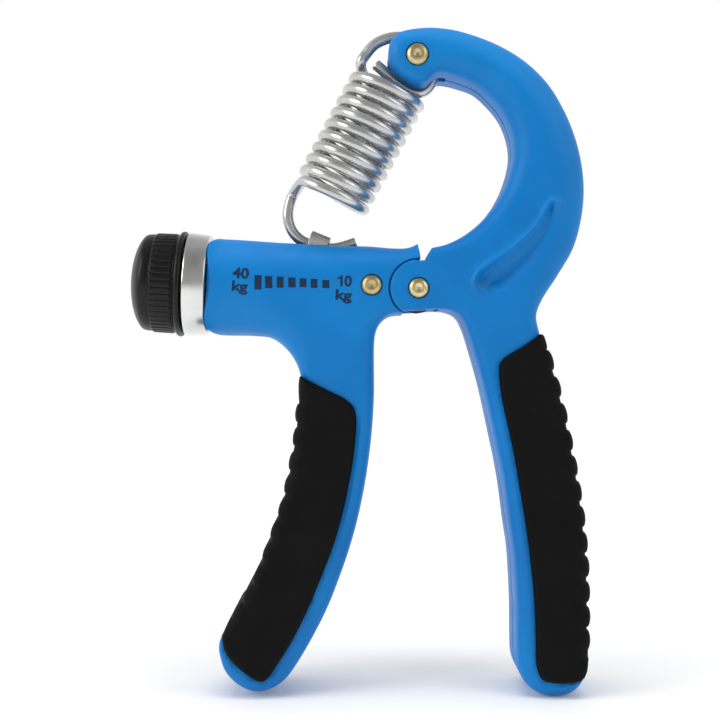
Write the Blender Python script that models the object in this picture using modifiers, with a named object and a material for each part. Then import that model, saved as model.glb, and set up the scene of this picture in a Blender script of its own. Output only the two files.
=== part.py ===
"""Hand grip strengthener with an adjustable tension spring.

Frame: metres, +X to the right across the two handles, +Y through the thickness,
+Z up.  The origin is the middle of the foot print: the middle of the overall
width, the mid-plane of the thickness, and the level of the handle ends.
All the driving dimensions below are in millimetres.
"""

import math

import bmesh
import bpy
from mathutils import Matrix, Vector

MM = 0.001

# ------------------------------------------------------------------ driving dimensions (mm)
SHELL_HALF = 10.3          # half thickness of both handle bodies
PART_GAP = 0.15            # each half shell stops this far from the mid-plane
GAP = 0.3                  # assembly gap between neighbouring pieces
RIM_BEVEL = 2.4            # rounding of the shells' outer rims
PAD_HALF = 11.3            # half thickness over the rubber grips
PAD_CORE_HALF = 8.2        # half thickness of the body under the grips
PAD_WEB = 3.0              # rubber thickness round the outside of each handle

PIVOT = (14.1, 93.8)       # main hinge, X and Z
EAR_R = 6.5                # clevis ears of the rear handle
EAR_POCKET_R = 6.9
EAR_INNER = 5.4            # inner faces of the ears
TONGUE_HALF = 4.35
TONGUE_R = 6.3
WASHER_R, WASHER_BORE = 5.4, 1.85
WASHER_IN, WASHER_OUT = 4.65, 5.1

HEAD = (13.8, 147.6)       # rivet that carries the spring's upper loop
HEAD_SLOT_HALF = 1.9
HEAD_SLOT_R = 8.4
HEAD_BUSH_R = 3.0
BARREL_RIVET = (3.3, 94.5)
RIVET_SHANK_R = 1.5
RIVET_HOLE_R = 1.85

BARREL_TILT = math.radians(3.0)    # the barrel drops towards the pivot
BARREL_START = (-40.45, 95.19)     # axis at the collar's outer face, X and Z
BARREL_R0, BARREL_R1 = 11.3, 10.9
COLLAR_LEN = 5.35
COLLAR_R0, COLLAR_R1 = 12.2, 11.75
SPIGOT_R = 10.2
CHANNEL_R = 6.6
SCREW_R = 2.9
JOURNAL_R = 2.1
NUT_R = 6.25
NUT_LEN = 8.4
SLOT_HALF = 3.3

HOOK_AXIS = (-11.2, 100.0)         # pin that carries the stirrup, X and Z
STIRRUP_TILT = math.radians(22.0)
STIRRUP_TOP = 8.0
STIRRUP_UNDER = 6.65
STIRRUP_SWING = 6.2  # height above the pin of the line the spring's hook rocks about
STIRRUP_HALF_WIDTH = 2.4
LEG_IN, LEG_OUT = 1.62, 2.8
PIN_R = 0.9

WIRE_R = 1.3
COIL_R = 8.35                      # mean radius of the coil
COIL_TURNS = 10
COIL_LOW = (-6.58, 115.5)          # coil axis at the lower end, X and Z
COIL_HIGH = (7.95, 142.75)

KNOB_RIBS = 36
KNOB_R = 11.85

DATUM_SHIFT = (-0.08405, 0.0, 0.6)  # from the outlines' datum to the frame's origin


# ------------------------------------------------------------------ scene and helpers
for o in list(bpy.data.objects):
    bpy.data.objects.remove(o, do_unlink=True)


def collection(name):
    c = bpy.data.collections.new(name)
    bpy.context.scene.collection.children.link(c)
    return c


PARTS = collection("hand_grip_strengthener")
CUTTERS = collection("cutters")
AXES = collection("axes")


def material(name, colour, roughness, metallic=0.0):
    m = bpy.data.materials.new(name)
    m.use_nodes = True
    b = m.node_tree.nodes["Principled BSDF"]
    b.inputs["Base Color"].default_value = (*colour, 1.0)
    b.inputs["Roughness"].default_value = roughness
    b.inputs["Metallic"].default_value = metallic
    m.diffuse_color = (*colour, 1.0)
    return m


BLUE = (0.022, 0.19, 0.62)
MAT = {
    "front_plastic_near": material("front_plastic_near", BLUE, 0.38),
    "front_plastic_far": material("front_plastic_far", BLUE, 0.38),
    "rear_plastic_near": material("rear_plastic_near", BLUE, 0.38),
    "rear_plastic_far": material("rear_plastic_far", BLUE, 0.38),
    "front_rubber": material("front_rubber", (0.012, 0.012, 0.013), 0.72),
    "rear_rubber": material("rear_rubber", (0.012, 0.012, 0.013), 0.72),
    "knob_plastic": material("knob_plastic", (0.010, 0.010, 0.011), 0.42),
    "collar_steel": material("collar_steel", (0.74, 0.74, 0.73), 0.20, 1.0),
    "rivet_brass": material("rivet_brass", (0.80, 0.70, 0.44), 0.28, 1.0),
    "turned_brass": material("turned_brass", (0.78, 0.62, 0.30), 0.32, 1.0),
    "plated_steel": material("plated_steel", (0.70, 0.70, 0.69), 0.25, 1.0),
    "sheet_steel": material("sheet_steel", (0.62, 0.60, 0.56), 0.30, 1.0),
    "spring_wire": material("spring_wire", (0.78, 0.78, 0.78), 0.16, 1.0),
    "nylon": material("nylon", (0.80, 0.79, 0.74), 0.50),
}


def smooth_closed(points, step):
    """A closed Catmull-Rom line through points, one new point every step or so."""
    n, out = len(points), []
    for i in range(n):
        p0, p1, p2, p3 = (Vector(points[(i + k - 1) % n]) for k in range(4))
        count = max(1, int(round((p2 - p1).length / step)))
        for k in range(count):
            t = k / count
            out.append(
                0.5
                * (
                    2 * p1
                    + (p2 - p0) * t
                    + (2 * p0 - 5 * p1 + 4 * p2 - p3) * t * t
                    + (3 * p1 - p0 - 3 * p2 + p3) * t * t * t
                )
            )
    return [tuple(p) for p in out]


def smooth_open(points, step):
    """An open Catmull-Rom line through points."""
    pts = [Vector(p) for p in points]
    pts = [2 * pts[0] - pts[1]] + pts + [2 * pts[-1] - pts[-2]]
    out = []
    for i in range(1, len(pts) - 2):
        p0, p1, p2, p3 = pts[i - 1 : i + 3]
        count = max(1, int(round((p2 - p1).length / step)))
        for k in range(count):
            t = k / count
            out.append(
                0.5
                * (
                    2 * p1
                    + (p2 - p0) * t
                    + (2 * p0 - 5 * p1 + 4 * p2 - p3) * t * t
                    + (3 * p1 - p0 - 3 * p2 + p3) * t * t * t
                )
            )
    out.append(pts[-2])
    return [tuple(p) for p in out]


def arc(centre, radius, a0, a1, count):
    """Points on a circle, angles in degrees, anticlockwise positive."""
    return [
        (
            centre[0] + radius * math.cos(math.radians(a0 + (a1 - a0) * k / (count - 1))),
            centre[1] + radius * math.sin(math.radians(a0 + (a1 - a0) * k / (count - 1))),
        )
        for k in range(count)
    ]


def link(obj, where=PARTS):
    where.objects.link(obj)
    return obj


def as_mesh(source, name, where=PARTS, weld=2e-6):
    """The evaluated object as one welded mesh object; the source is removed."""
    bpy.context.view_layer.update()
    dg = bpy.context.evaluated_depsgraph_get()
    me = bpy.data.meshes.new_from_object(source.evaluated_get(dg))
    me.transform(source.matrix_world)
    bm = bmesh.new()
    bm.from_mesh(me)
    bmesh.ops.remove_doubles(bm, verts=bm.verts, dist=weld)
    bmesh.ops.dissolve_degenerate(bm, edges=bm.edges, dist=1e-7)
    bmesh.ops.recalc_face_normals(bm, faces=bm.faces)
    bm.to_mesh(me)
    bm.free()
    me.name = name
    data = source.data
    bpy.data.objects.remove(source, do_unlink=True)
    if data.users == 0:
        (bpy.data.curves if isinstance(data, bpy.types.Curve) else bpy.data.meshes).remove(data)
    me.materials.clear()
    obj = bpy.data.objects.new(name, me)
    return link(obj, where)


def slab(name, outline, y0, y1, bevel=0.0, rims=(), segments=2, where=PARTS):
    """A flat outline in X and Z, y0 to y1 thick, with its rims at the given Y rounded."""
    cu = bpy.data.curves.new(name + "_outline", "CURVE")
    cu.dimensions = "2D"
    cu.fill_mode = "BOTH"
    cu.extrude = abs(y1 - y0) / 2 * MM
    sp = cu.splines.new("POLY")
    sp.points.add(len(outline) - 1)
    for p, (x, z) in zip(sp.points, outline):
        p.co = (x * MM, z * MM, 0.0, 1.0)
    sp.use_cyclic_u = True
    o = link(bpy.data.objects.new(name + "_outline", cu), where)
    o.rotation_euler = (math.radians(90), 0, 0)
    o.location = (0, (y0 + y1) / 2 * MM, 0)
    o = as_mesh(o, name, where)
    bm = bmesh.new()
    bm.from_mesh(o.data)
    for y in (y0, y1):
        cap = [f for f in bm.faces if all(abs(v.co.y - y * MM) < 1e-6 for v in f.verts)]
        if len(cap) > 1:
            bmesh.ops.dissolve_faces(bm, faces=cap)
    for y in rims:
        rim = [e for e in bm.edges if all(abs(v.co.y - y * MM) < 1e-6 for v in e.verts)]
        bmesh.ops.bevel(
            bm,
            geom=rim,
            offset=bevel * MM,
            offset_type="OFFSET",
            segments=segments,
            profile=0.5,
            affect="EDGES",
            clamp_overlap=False,
        )
    bmesh.ops.recalc_face_normals(bm, faces=bm.faces)
    bm.to_mesh(o.data)
    bm.free()
    return o


def turned(name, profile, origin, direction, steps=24, where=PARTS):
    """A solid of revolution: profile is (distance along the axis, radius) pairs in mm, from
    one end to the other; it closes on the axis when both ends have radius 0."""
    me = bpy.data.meshes.new(name + "_profile")
    pts = [(r * MM, 0.0, s * MM) for s, r in reversed(profile)]
    closed = profile[0][1] > 1e-6
    edges = [(i, i + 1) for i in range(len(pts) - 1)]
    if closed:
        edges.append((len(pts) - 1, 0))
    me.from_pydata(pts, edges, [])
    o = link(bpy.data.objects.new(name + "_profile", me), where)
    mod = o.modifiers.new("turn", "SCREW")
    mod.axis = "Z"
    mod.angle = 2 * math.pi
    mod.steps = mod.render_steps = steps
    mod.use_merge_vertices = True
    mod.merge_threshold = 1e-6
    mod.use_normal_calculate = True
    o.rotation_mode = "QUATERNION"
    o.rotation_quaternion = Vector((0, 0, 1)).rotation_difference(Vector(direction))
    o.location = origin
    return as_mesh(o, name, where)


def tube(name, path, radius, where=PARTS):
    """A round wire along path (mm), with flat filled ends."""
    cu = bpy.data.curves.new(name + "_path", "CURVE")
    cu.dimensions = "3D"
    cu.bevel_depth = radius * MM
    cu.bevel_resolution = 2
    cu.use_fill_caps = True
    sp = cu.splines.new("POLY")
    sp.points.add(len(path) - 1)
    for p, c in zip(sp.points, path):
        p.co = (c[0] * MM, c[1] * MM, c[2] * MM, 1.0)
    return as_mesh(link(bpy.data.objects.new(name + "_path", cu), where), name, where, 1e-5)


def box(name, size, centre, rotation_y=0.0, where=CUTTERS):
    me = bpy.data.meshes.new(name)
    bm = bmesh.new()
    bmesh.ops.create_cube(bm, size=1.0)
    bmesh.ops.scale(bm, vec=[s * MM for s in size], verts=bm.verts)
    bm.to_mesh(me)
    bm.free()
    o = link(bpy.data.objects.new(name, me), where)
    o.location = [c * MM for c in centre]
    o.rotation_euler = (0, rotation_y, 0)
    return o


def cylinder(name, radius, start, end, segments=32, where=CUTTERS):
    """A cylinder between two points (mm)."""
    a, b = Vector(start) * MM, Vector(end) * MM
    me = bpy.data.meshes.new(name)
    bm = bmesh.new()
    bmesh.ops.create_cone(
        bm,
        cap_ends=True,
        segments=segments,
        radius1=radius * MM,
        radius2=radius * MM,
        depth=(b - a).length,
    )
    bm.to_mesh(me)
    bm.free()
    o = link(bpy.data.objects.new(name, me), where)
    o.rotation_mode = "QUATERNION"
    o.rotation_quaternion = Vector((0, 0, 1)).rotation_difference((b - a).normalized())
    o.location = (a + b) / 2
    return o


def boolean(obj, other, operation):
    mod = obj.modifiers.new(operation.lower(), "BOOLEAN")
    mod.operation = operation
    mod.solver = "EXACT"
    mod.object = other
    other.hide_render = True
    other.display_type = "WIRE"


def settle(obj):
    """Applies the modifiers, so that a finished solid can be shared or bevelled."""
    name = obj.name
    obj.name = name + "_raw"
    return as_mesh(obj, name)


def finish(obj, slot, smooth=35):
    obj.data.materials.clear()
    obj.data.materials.append(MAT[slot])
    obj.data.shade_smooth()
    obj.data.set_sharp_from_angle(angle=math.radians(smooth))
    return obj


def xz(p, y=0.0):
    return (p[0], y, p[1])


# ------------------------------------------------------------------ axes of the design
SCREW_DIR = Vector((math.cos(BARREL_TILT), 0.0, -math.sin(BARREL_TILT)))
SCREW_UP = Vector((math.sin(BARREL_TILT), 0.0, math.cos(BARREL_TILT)))
BARREL_ORIGIN = Vector((BARREL_START[0], 0.0, BARREL_START[1]))


def on_screw(s, up=0.0):
    """A point (mm) at distance s along the screw from the collar's outer face."""
    return BARREL_ORIGIN + SCREW_DIR * s + SCREW_UP * up


def screw_turned(name, profile, steps=24, where=PARTS):
    return turned(name, profile, BARREL_ORIGIN * MM, SCREW_DIR, steps, where)


PIN_ALONG = (Vector((HOOK_AXIS[0], 0, HOOK_AXIS[1])) - BARREL_ORIGIN).dot(SCREW_DIR)
COIL_AXIS = (Vector(xz(COIL_HIGH)) - Vector(xz(COIL_LOW))).normalized()
COIL_SIDE = Vector((COIL_AXIS.z, 0.0, -COIL_AXIS.x))

# ------------------------------------------------------------------ outlines, X and Z in mm
FRONT_OUTLINE = [
    (-18.0, 103.4), (-13.0, 104.5), (-5.0, 104.3), (2.0, 103.7), (7.0, 103.3), (10.6, 103.4),
    (13.2, 102.6), (14.3, 100.0), (14.4, 96.5), (14.2, 92.0), (12.8, 89.2), (9.6, 88.0),
    (6.5, 86.9), (4.6, 84.8), (3.9, 81.5), (3.85, 76.0), (3.85, 68.5), (3.4, 61.0), (2.6, 53.8),
    (1.5, 47.0), (0.0, 40.0), (-1.9, 33.2), (-4.4, 26.0), (-7.2, 19.1), (-10.8, 12.1),
    (-14.6, 5.8), (-17.2, 2.6), (-19.9, 0.9), (-22.6, 0.2), (-25.4, 0.6), (-28.2, 2.2),
    (-30.6, 4.9), (-31.8, 8.2), (-32.1, 11.2), (-31.4, 13.8), (-29.2, 16.7), (-27.4, 19.9),
    (-25.0, 24.2), (-22.7, 28.6), (-20.6, 33.8), (-18.8, 39.0), (-17.1, 44.2), (-15.8, 49.4),
    (-14.8, 54.6), (-14.0, 60.0), (-13.4, 65.4), (-13.1, 70.4), (-13.4, 74.0), (-14.6, 77.6),
    (-17.3, 80.9), (-20.2, 84.4), (-21.2, 89.5), (-20.8, 97.5),
]
# inner edge of the rubber grip, from its outer top corner to its outer bottom corner
FRONT_PAD = [
    (-13.3, 73.4), (-11.6, 72.6), (-7.2, 70.4), (-2.4, 67.9), (-0.5, 65.2), (-0.3, 61.1),
    (-1.0, 54.2), (-2.2, 47.3), (-3.8, 40.4), (-5.9, 33.5), (-8.6, 26.6), (-11.5, 19.7),
    (-14.9, 12.8), (-18.9, 6.4), (-20.8, 3.8), (-22.6, 3.2), (-25.2, 4.6), (-28.5, 7.4),
    (-30.6, 10.4), (-31.2, 13.8),
]
FRONT_RIDGES = [
    (-14.35, 65.1), (-14.9, 59.6), (-15.8, 54.0), (-16.8, 48.7), (-18.1, 43.4), (-19.8, 38.4),
    (-21.6, 33.4), (-23.7, 28.1), (-25.9, 23.8), (-28.3, 19.7),
]
REAR_OUTLINE = [
    (15.9, 99.9), (16.7, 102.7), (20.9, 104.1), (25.2, 106.4), (29.3, 109.9), (32.8, 114.5),
    (35.2, 119.8), (36.4, 125.3), (35.8, 130.3), (33.7, 135.1), (30.0, 139.4), (25.6, 142.4),
    (21.6, 143.6), (19.6, 143.9), (18.0, 143.4),
    (16.6, 142.0), (14.8, 141.2), (12.4, 141.7), (9.9, 143.3), (8.1, 145.5), (7.2, 148.6), (7.9, 151.6),
    (10.2, 153.6), (14.2, 154.6), (18.4, 154.7), (24.6, 153.9),
    (32.5, 151.3), (39.0, 147.3), (44.5, 141.8), (48.4, 135.3), (51.0, 128.6), (52.4, 122.0),
    (52.7, 115.6), (51.8, 109.1), (50.0, 103.0), (46.6, 96.8), (43.2, 91.6), (41.6, 87.8),
    (42.0, 84.2), (43.1, 80.8), (44.6, 76.4), (46.2, 70.4), (47.7, 64.2), (49.0, 58.0),
    (50.1, 52.0), (51.0, 46.0), (51.7, 40.0), (52.2, 34.0), (52.5, 28.0), (52.6, 22.0),
    (52.7, 15.4), (53.0, 11.6), (53.5, 8.8), (53.3, 5.8), (52.2, 2.6), (50.2, 0.3), (46.8, -0.6), (43.2, -0.4), (40.3, 1.0),
    (38.2, 3.4), (37.1, 6.8), (36.9, 12.7), (36.8, 20.0), (36.2, 30.9), (35.2, 38.2),
    (33.7, 49.2), (31.5, 60.2), (29.1, 71.1), (27.1, 78.4), (25.3, 84.2), (23.7, 87.3),
    (21.4, 88.5), (18.0, 88.9), (14.4, 88.8),
] + arc(PIVOT, EAR_R, 232, 100, 9)
REAR_PAD = [
    (43.2, 83.4), (38.4, 80.4), (33.8, 77.6), (32.6, 75.0), (33.5, 68.0), (35.6, 61.1),
    (37.0, 54.2), (38.1, 47.3), (39.2, 40.4), (39.9, 33.5), (40.6, 26.6), (41.1, 19.7),
    (41.3, 12.8), (41.5, 7.0), (42.6, 3.8), (45.0, 3.0), (48.0, 2.8), (50.7, 3.5), (52.4, 5.9),
    (53.3, 9.4),
]
REAR_RIDGES = [
    (45.2, 77.4), (46.9, 71.3), (48.4, 65.1), (49.7, 58.9), (50.8, 53.0), (51.8, 47.1),
    (52.6, 41.2), (53.2, 35.2), (53.6, 29.6), (53.75, 23.7), (53.8, 18.0), (53.75, 12.6),
]
THUMB_REST = [
    (44.3, 112.4), (41.4, 108.2), (38.6, 105.0), (35.4, 102.2), (32.2, 99.9), (29.4, 98.1),
    (27.7, 96.3), (28.0, 94.2), (29.8, 92.7), (31.9, 93.2), (34.6, 95.7), (38.6, 99.4),
    (41.4, 103.3), (43.4, 107.8),
]


def ridge_outline(ridges, inward):
    """The ridged outer edge of a grip: the crests, and the dips between them."""
    crests = [Vector(p) for p in ridges]
    wave = []
    for i, c in enumerate(crests):
        wave.append(tuple(c))
        if i + 1 < len(crests):
            mid = (c + crests[i + 1]) / 2
            wave.append((mid.x + inward[0], mid.y + inward[1]))
    return wave


def offset_line(points, distance):
    """An open line moved sideways; positive is to its left."""
    out = []
    for i, p in enumerate(points):
        a = Vector(points[max(i - 1, 0)])
        b = Vector(points[min(i + 1, len(points) - 1)])
        t = (b - a).normalized()
        q = Vector(p) + Vector((-t.y, t.x)) * distance
        out.append((q.x, q.y))
    return out


def inset(points, centre_line_shift):
    """Each point moved along the outline's inward normal."""
    n, out = len(points), []
    area = sum(
        points[i][0] * points[(i + 1) % n][1] - points[(i + 1) % n][0] * points[i][1]
        for i in range(n)
    )
    side = 1.0 if area > 0 else -1.0
    for i in range(n):
        a, b = Vector(points[i - 1]), Vector(points[(i + 1) % n])
        t = (b - a).normalized()
        normal = Vector((-t.y, t.x)) * side
        p = Vector(points[i]) + normal * centre_line_shift
        out.append((p.x, p.y))
    return out


# ------------------------------------------------------------------ shared cutters
def y_hole(name, centre, radius, y0=-14.0, y1=14.0, segments=28):
    return cylinder(name, radius, xz(centre, y0), xz(centre, y1), segments)


def counterbores(name, centre, radius, depth, side):
    y = side * (SHELL_HALF - depth)
    return cylinder(name, radius, xz(centre, y), xz(centre, side * 14.0), 28)


def build_front_shell(side, name, slot):
    y_out, y_in = side * SHELL_HALF, side * PART_GAP
    lo, hi = min(y_out, y_in), max(y_out, y_in)
    o = slab(name, smooth_closed(FRONT_OUTLINE, 5.0), lo, hi, RIM_BEVEL, (y_out,))
    # the round barrel, stepped down to a spigot inside the collar
    barrel = screw_turned(
        name + "_barrel",
        [
            (0.3, 0.0), (0.3, SPIGOT_R), (COLLAR_LEN + GAP, SPIGOT_R),
            (COLLAR_LEN + GAP, BARREL_R0), (30.0, (BARREL_R0 + BARREL_R1) / 2),
            (45.0, BARREL_R1), (47.5, BARREL_R1 - 1.6), (47.5, 0.0),
        ],
        40,
        CUTTERS,
    )
    half = box(name + "_half", (140, 30, 60), (-10, side * (15 + PART_GAP), 95))
    boolean(barrel, half, "INTERSECT")
    barrel = settle(barrel)
    CUTTERS.objects.link(barrel)
    PARTS.objects.unlink(barrel)
    boolean(o, barrel, "UNION")
    # outer layers are cleared for the clevis ears, before the tongue goes on
    boolean(
        o,
        cylinder(
            name + "_ear_pocket",
            EAR_POCKET_R,
            xz(PIVOT, side * TONGUE_HALF),
            xz(PIVOT, side * 14.0),
            48,
        ),
        "DIFFERENCE",
    )
    tongue = slab(
        name + "_tongue",
        [(p[0], max(p[1], PIVOT[1] - 5.0)) for p in arc(PIVOT, TONGUE_R, -60, 125, 15)]
        + [(8.0, 99.5), (6.5, 95.0), (8.0, 89.6)],
        min(side * TONGUE_HALF, y_in),
        max(side * TONGUE_HALF, y_in),
        where=CUTTERS,
    )
    boolean(o, tongue, "UNION")
    # the barrel's tip behind the pivot is trimmed to the tongue's layer
    boolean(o, CUT["pivot_bore"], "DIFFERENCE")
    boolean(o, CUT["barrel_bore"], "DIFFERENCE")
    boolean(o, counterbores(name + "_seat", BARREL_RIVET, 2.75, 0.8, side), "DIFFERENCE")
    for key in ("channel", "front_bush", "end_bush", "slot", "slot_tail"):
        boolean(o, CUT[key], "DIFFERENCE")
    pad_faces(o, name, "front", side)
    return finish(settle(o), slot)


def pad_faces(o, name, which, side):
    boolean(o, CUT[which + "_pad_web"], "DIFFERENCE")
    y0, y1 = side * (PAD_CORE_HALF - GAP), side * 14.0
    face = slab(
        name + "_pad_seat", PAD_ROOM[which], min(y0, y1), max(y0, y1), where=CUTTERS
    )
    boolean(o, face, "DIFFERENCE")
    y0, y1 = side * 5.6, -side * 1.0
    cavity = slab(
        name + "_cavity",
        smooth_closed(CAVITY[which], 6.0),
        min(y0, y1),
        max(y0, y1),
        where=CUTTERS,
    )
    boolean(o, cavity, "DIFFERENCE")


def build_rear_shell(side, name, slot):
    y_out, y_in = side * SHELL_HALF, side * PART_GAP
    lo, hi = min(y_out, y_in), max(y_out, y_in)
    o = slab(name, smooth_closed(REAR_OUTLINE, 5.0), lo, hi, RIM_BEVEL, (y_out,))
    boolean(o, CUT["tongue_pocket"], "DIFFERENCE")
    boolean(o, CUT["pivot_bore"], "DIFFERENCE")
    boolean(o, CUT["head_bore"], "DIFFERENCE")
    boolean(o, CUT["head_slot"], "DIFFERENCE")
    boolean(o, counterbores(name + "_seat_pivot", PIVOT, 2.75, 0.8, side), "DIFFERENCE")
    boolean(o, counterbores(name + "_seat_head", HEAD, 2.95, 0.8, side), "DIFFERENCE")
    if side > 0:
        # the last turn of the spring climbs past this shell
        relief = cylinder(
            name + "_coil_relief",
            COIL_R + WIRE_R + 0.7,
            tuple(Vector(xz(COIL_HIGH)) - COIL_AXIS * 12.0),
            tuple(Vector(xz(COIL_HIGH)) + COIL_AXIS * 0.95),
            40,
        )
        boolean(o, relief, "DIFFERENCE")
    y0, y1 = side * (SHELL_HALF - 0.9), side * 14.0
    rest = slab(
        name + "_thumb",
        smooth_closed(THUMB_REST, 3.0),
        min(y0, y1),
        max(y0, y1),
        where=CUTTERS,
    )
    boolean(o, rest, "DIFFERENCE")
    pad_faces(o, name, "rear", side)
    return finish(settle(o), slot)


# the grips' outlines: the inner edge, and an outer edge of ridge crests and dips
PAD = {
    "front": FRONT_PAD + [(-29.4, 17.2)] + list(reversed(ridge_outline(FRONT_RIDGES, (0.62, 0.15)))) + [(-13.6, 70.2)],
    "rear": REAR_PAD + list(reversed(ridge_outline(REAR_RIDGES, (-0.75, 0.0)))),
}
PAD = {key: smooth_closed(points, 2.4) for key, points in PAD.items()}
# the room the shells leave for the grips
PAD_ROOM = {key: inset(points, -GAP) for key, points in PAD.items()}
# inner limit of the grip's outer web, top to bottom, PAD_WEB inside the outer edge
FRONT_WEB = smooth_open([
    (-10.3, 84.0), (-10.3, 74.0), (-10.9, 67.0), (-11.7, 61.6), (-12.6, 56.0), (-13.7, 50.4),
    (-15.0, 44.7), (-16.7, 39.3), (-18.6, 34.0), (-20.8, 28.9), (-23.2, 24.0), (-25.6, 19.5),
    (-27.5, 15.6), (-28.4, 12.4), (-28.3, 9.0), (-27.9, 3.0), (-27.6, -4.0),
], 6.0)
REAR_WEB = smooth_open([
    (38.6, 90.0), (39.8, 83.6), (41.2, 78.0), (42.7, 72.4), (44.1, 66.6), (45.3, 60.8),
    (46.4, 54.8), (47.4, 48.8), (48.3, 42.8), (49.0, 36.6), (49.6, 30.4), (49.9, 24.4),
    (50.1, 18.2), (50.2, 12.0), (50.3, 6.0), (50.4, -6.0),
], 6.0)
CORE = {
    "front": offset_line(FRONT_WEB, -GAP) + [(-8.0, -4.0), (14.0, 30.0), (14.0, 84.0)],
    "rear": offset_line(REAR_WEB, GAP) + [(30.0, -6.0), (22.0, 30.0), (18.0, 90.0)],
}
CAVITY = {
    "front": [
        (-7.5, 66.0), (0.2, 64.0), (0.1, 58.0), (-0.8, 50.0), (-2.5, 42.0), (-4.9, 34.0),
        (-8.0, 26.0), (-11.3, 19.0), (-15.8, 11.8), (-20.5, 7.4), (-24.6, 10.5), (-23.9, 15.5),
        (-20.6, 22.0), (-17.8, 28.0), (-15.4, 34.5), (-13.0, 42.0), (-11.2, 50.0), (-9.4, 59.0),
    ],
    "rear": [
        (38.6, 75.0), (33.0, 71.0), (34.8, 60.0), (36.6, 50.0), (38.0, 40.0), (39.1, 29.0),
        (39.8, 17.0), (40.6, 9.0), (44.0, 5.4), (47.2, 9.0), (47.3, 20.0), (46.8, 31.0),
        (45.8, 42.0), (44.2, 53.0), (41.9, 64.0),
    ],
}


def web_cutter(name, which, line, outer):
    """The part of a grip's room that goes right through the handle."""
    o = slab(name, line + outer, -14, 14, where=CUTTERS)
    room = slab(name + "_room", inset(PAD[which], 0.03 - GAP), -15, 15, where=CUTTERS)
    boolean(o, room, "INTERSECT")
    o = settle(o)
    PARTS.objects.unlink(o)
    CUTTERS.objects.link(o)
    return o


CUT = {
    "pivot_bore": y_hole("cut_pivot_bore", PIVOT, RIVET_HOLE_R),
    "head_bore": y_hole("cut_head_bore", HEAD, RIVET_HOLE_R),
    "barrel_bore": y_hole("cut_barrel_bore", BARREL_RIVET, RIVET_HOLE_R),
    "tongue_pocket": y_hole("cut_tongue_pocket", PIVOT, EAR_POCKET_R, -EAR_INNER, EAR_INNER, 48),
    "head_slot": y_hole("cut_head_slot", HEAD, HEAD_SLOT_R, -HEAD_SLOT_HALF, HEAD_SLOT_HALF, 40),
    "channel": cylinder("cut_channel", CHANNEL_R, on_screw(6.6), on_screw(37.0), 40),
    "front_bush": cylinder("cut_front_bush", 5.1, on_screw(-2.0), on_screw(9.0), 32),
    "end_bush": cylinder("cut_end_bush", 4.8, on_screw(36.0), on_screw(40.6), 32),
    "slot": box(
        "cut_slot", (35.0, 2 * SLOT_HALF, 16.0), on_screw(6.7 + 17.5, 10.5), BARREL_TILT
    ),
    "slot_tail": box(
        "cut_slot_tail", (8.0, 2 * 1.9, 10.0), on_screw(36.0 + 3.0, 9.6), BARREL_TILT
    ),
    "front_pad_web": web_cutter("cut_front_web", "front", FRONT_WEB, [(-60, -4), (-60, 84)]),
    "rear_pad_web": web_cutter("cut_rear_web", "rear", REAR_WEB, [(80, -6), (80, 90)]),
}

# ------------------------------------------------------------------ front body: barrel and handle
front_near = build_front_shell(-1, "front_shell_near", "front_plastic_near")
front_far = build_front_shell(1, "front_shell_far", "front_plastic_far")

# ------------------------------------------------------------------ rear body: arm and handle
rear_near = build_rear_shell(-1, "rear_shell_near", "rear_plastic_near")
rear_far = build_rear_shell(1, "rear_shell_far", "rear_plastic_far")


# ------------------------------------------------------------------ rubber grips
def build_pad(name, which, slot):
    o = slab(name, PAD[which], -PAD_HALF, PAD_HALF, 1.0, (-PAD_HALF, PAD_HALF), 1)
    body = slab(name + "_core", CORE[which], -PAD_CORE_HALF, PAD_CORE_HALF, where=CUTTERS)
    boolean(o, body, "DIFFERENCE")
    return finish(settle(o), slot, 30)


front_pad = build_pad("front_grip_pad", "front", "front_rubber")
rear_pad = build_pad("rear_grip_pad", "rear", "rear_rubber")


# ------------------------------------------------------------------ rivets, washers and bushes
def rivet(name, centre, head_r, slot="rivet_brass"):
    """Round-headed rivet with a dimple at each end, its heads let into the shells."""
    under = SHELL_HALF - 0.8 + GAP
    top = under + 1.25
    head = [
        (top - 0.25, 0.0), (top, 0.9), (top - 0.3, head_r * 0.68), (top - 0.85, head_r * 0.96),
        (under, head_r),
    ]
    profile = (
        [(-s, r) for s, r in head]
        + [(-under, RIVET_SHANK_R), (under, RIVET_SHANK_R)]
        + list(reversed(head))
    )
    return finish(
        turned(name, profile, Vector(xz(centre)) * MM, (0, 1, 0), 16), slot, 40
    )


pivot_rivet = rivet("pivot_rivet", PIVOT, 2.35)
barrel_rivet = rivet("barrel_rivet", BARREL_RIVET, 2.35)
head_rivet = rivet("head_rivet", HEAD, 2.55)


def ring_y(name, centre, inner, outer, y0, y1, slot, steps=20):
    return finish(
        turned(
            name,
            [(y0, inner), (y0, outer), (y1, outer), (y1, inner)],
            Vector(xz(centre)) * MM,
            (0, 1, 0),
            steps,
        ),
        slot,
    )


washer_near = ring_y(
    "pivot_washer_near", PIVOT, WASHER_BORE, WASHER_R, -WASHER_OUT, -WASHER_IN, "nylon"
)
washer_far = ring_y(
    "pivot_washer_far", PIVOT, WASHER_BORE, WASHER_R, WASHER_IN, WASHER_OUT, "nylon"
)
# washers stop above the truncated underside of the tongue
head_bush = ring_y("head_bush", HEAD, 1.8, HEAD_BUSH_R, -1.5, 1.5, "turned_brass", 28)

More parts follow.
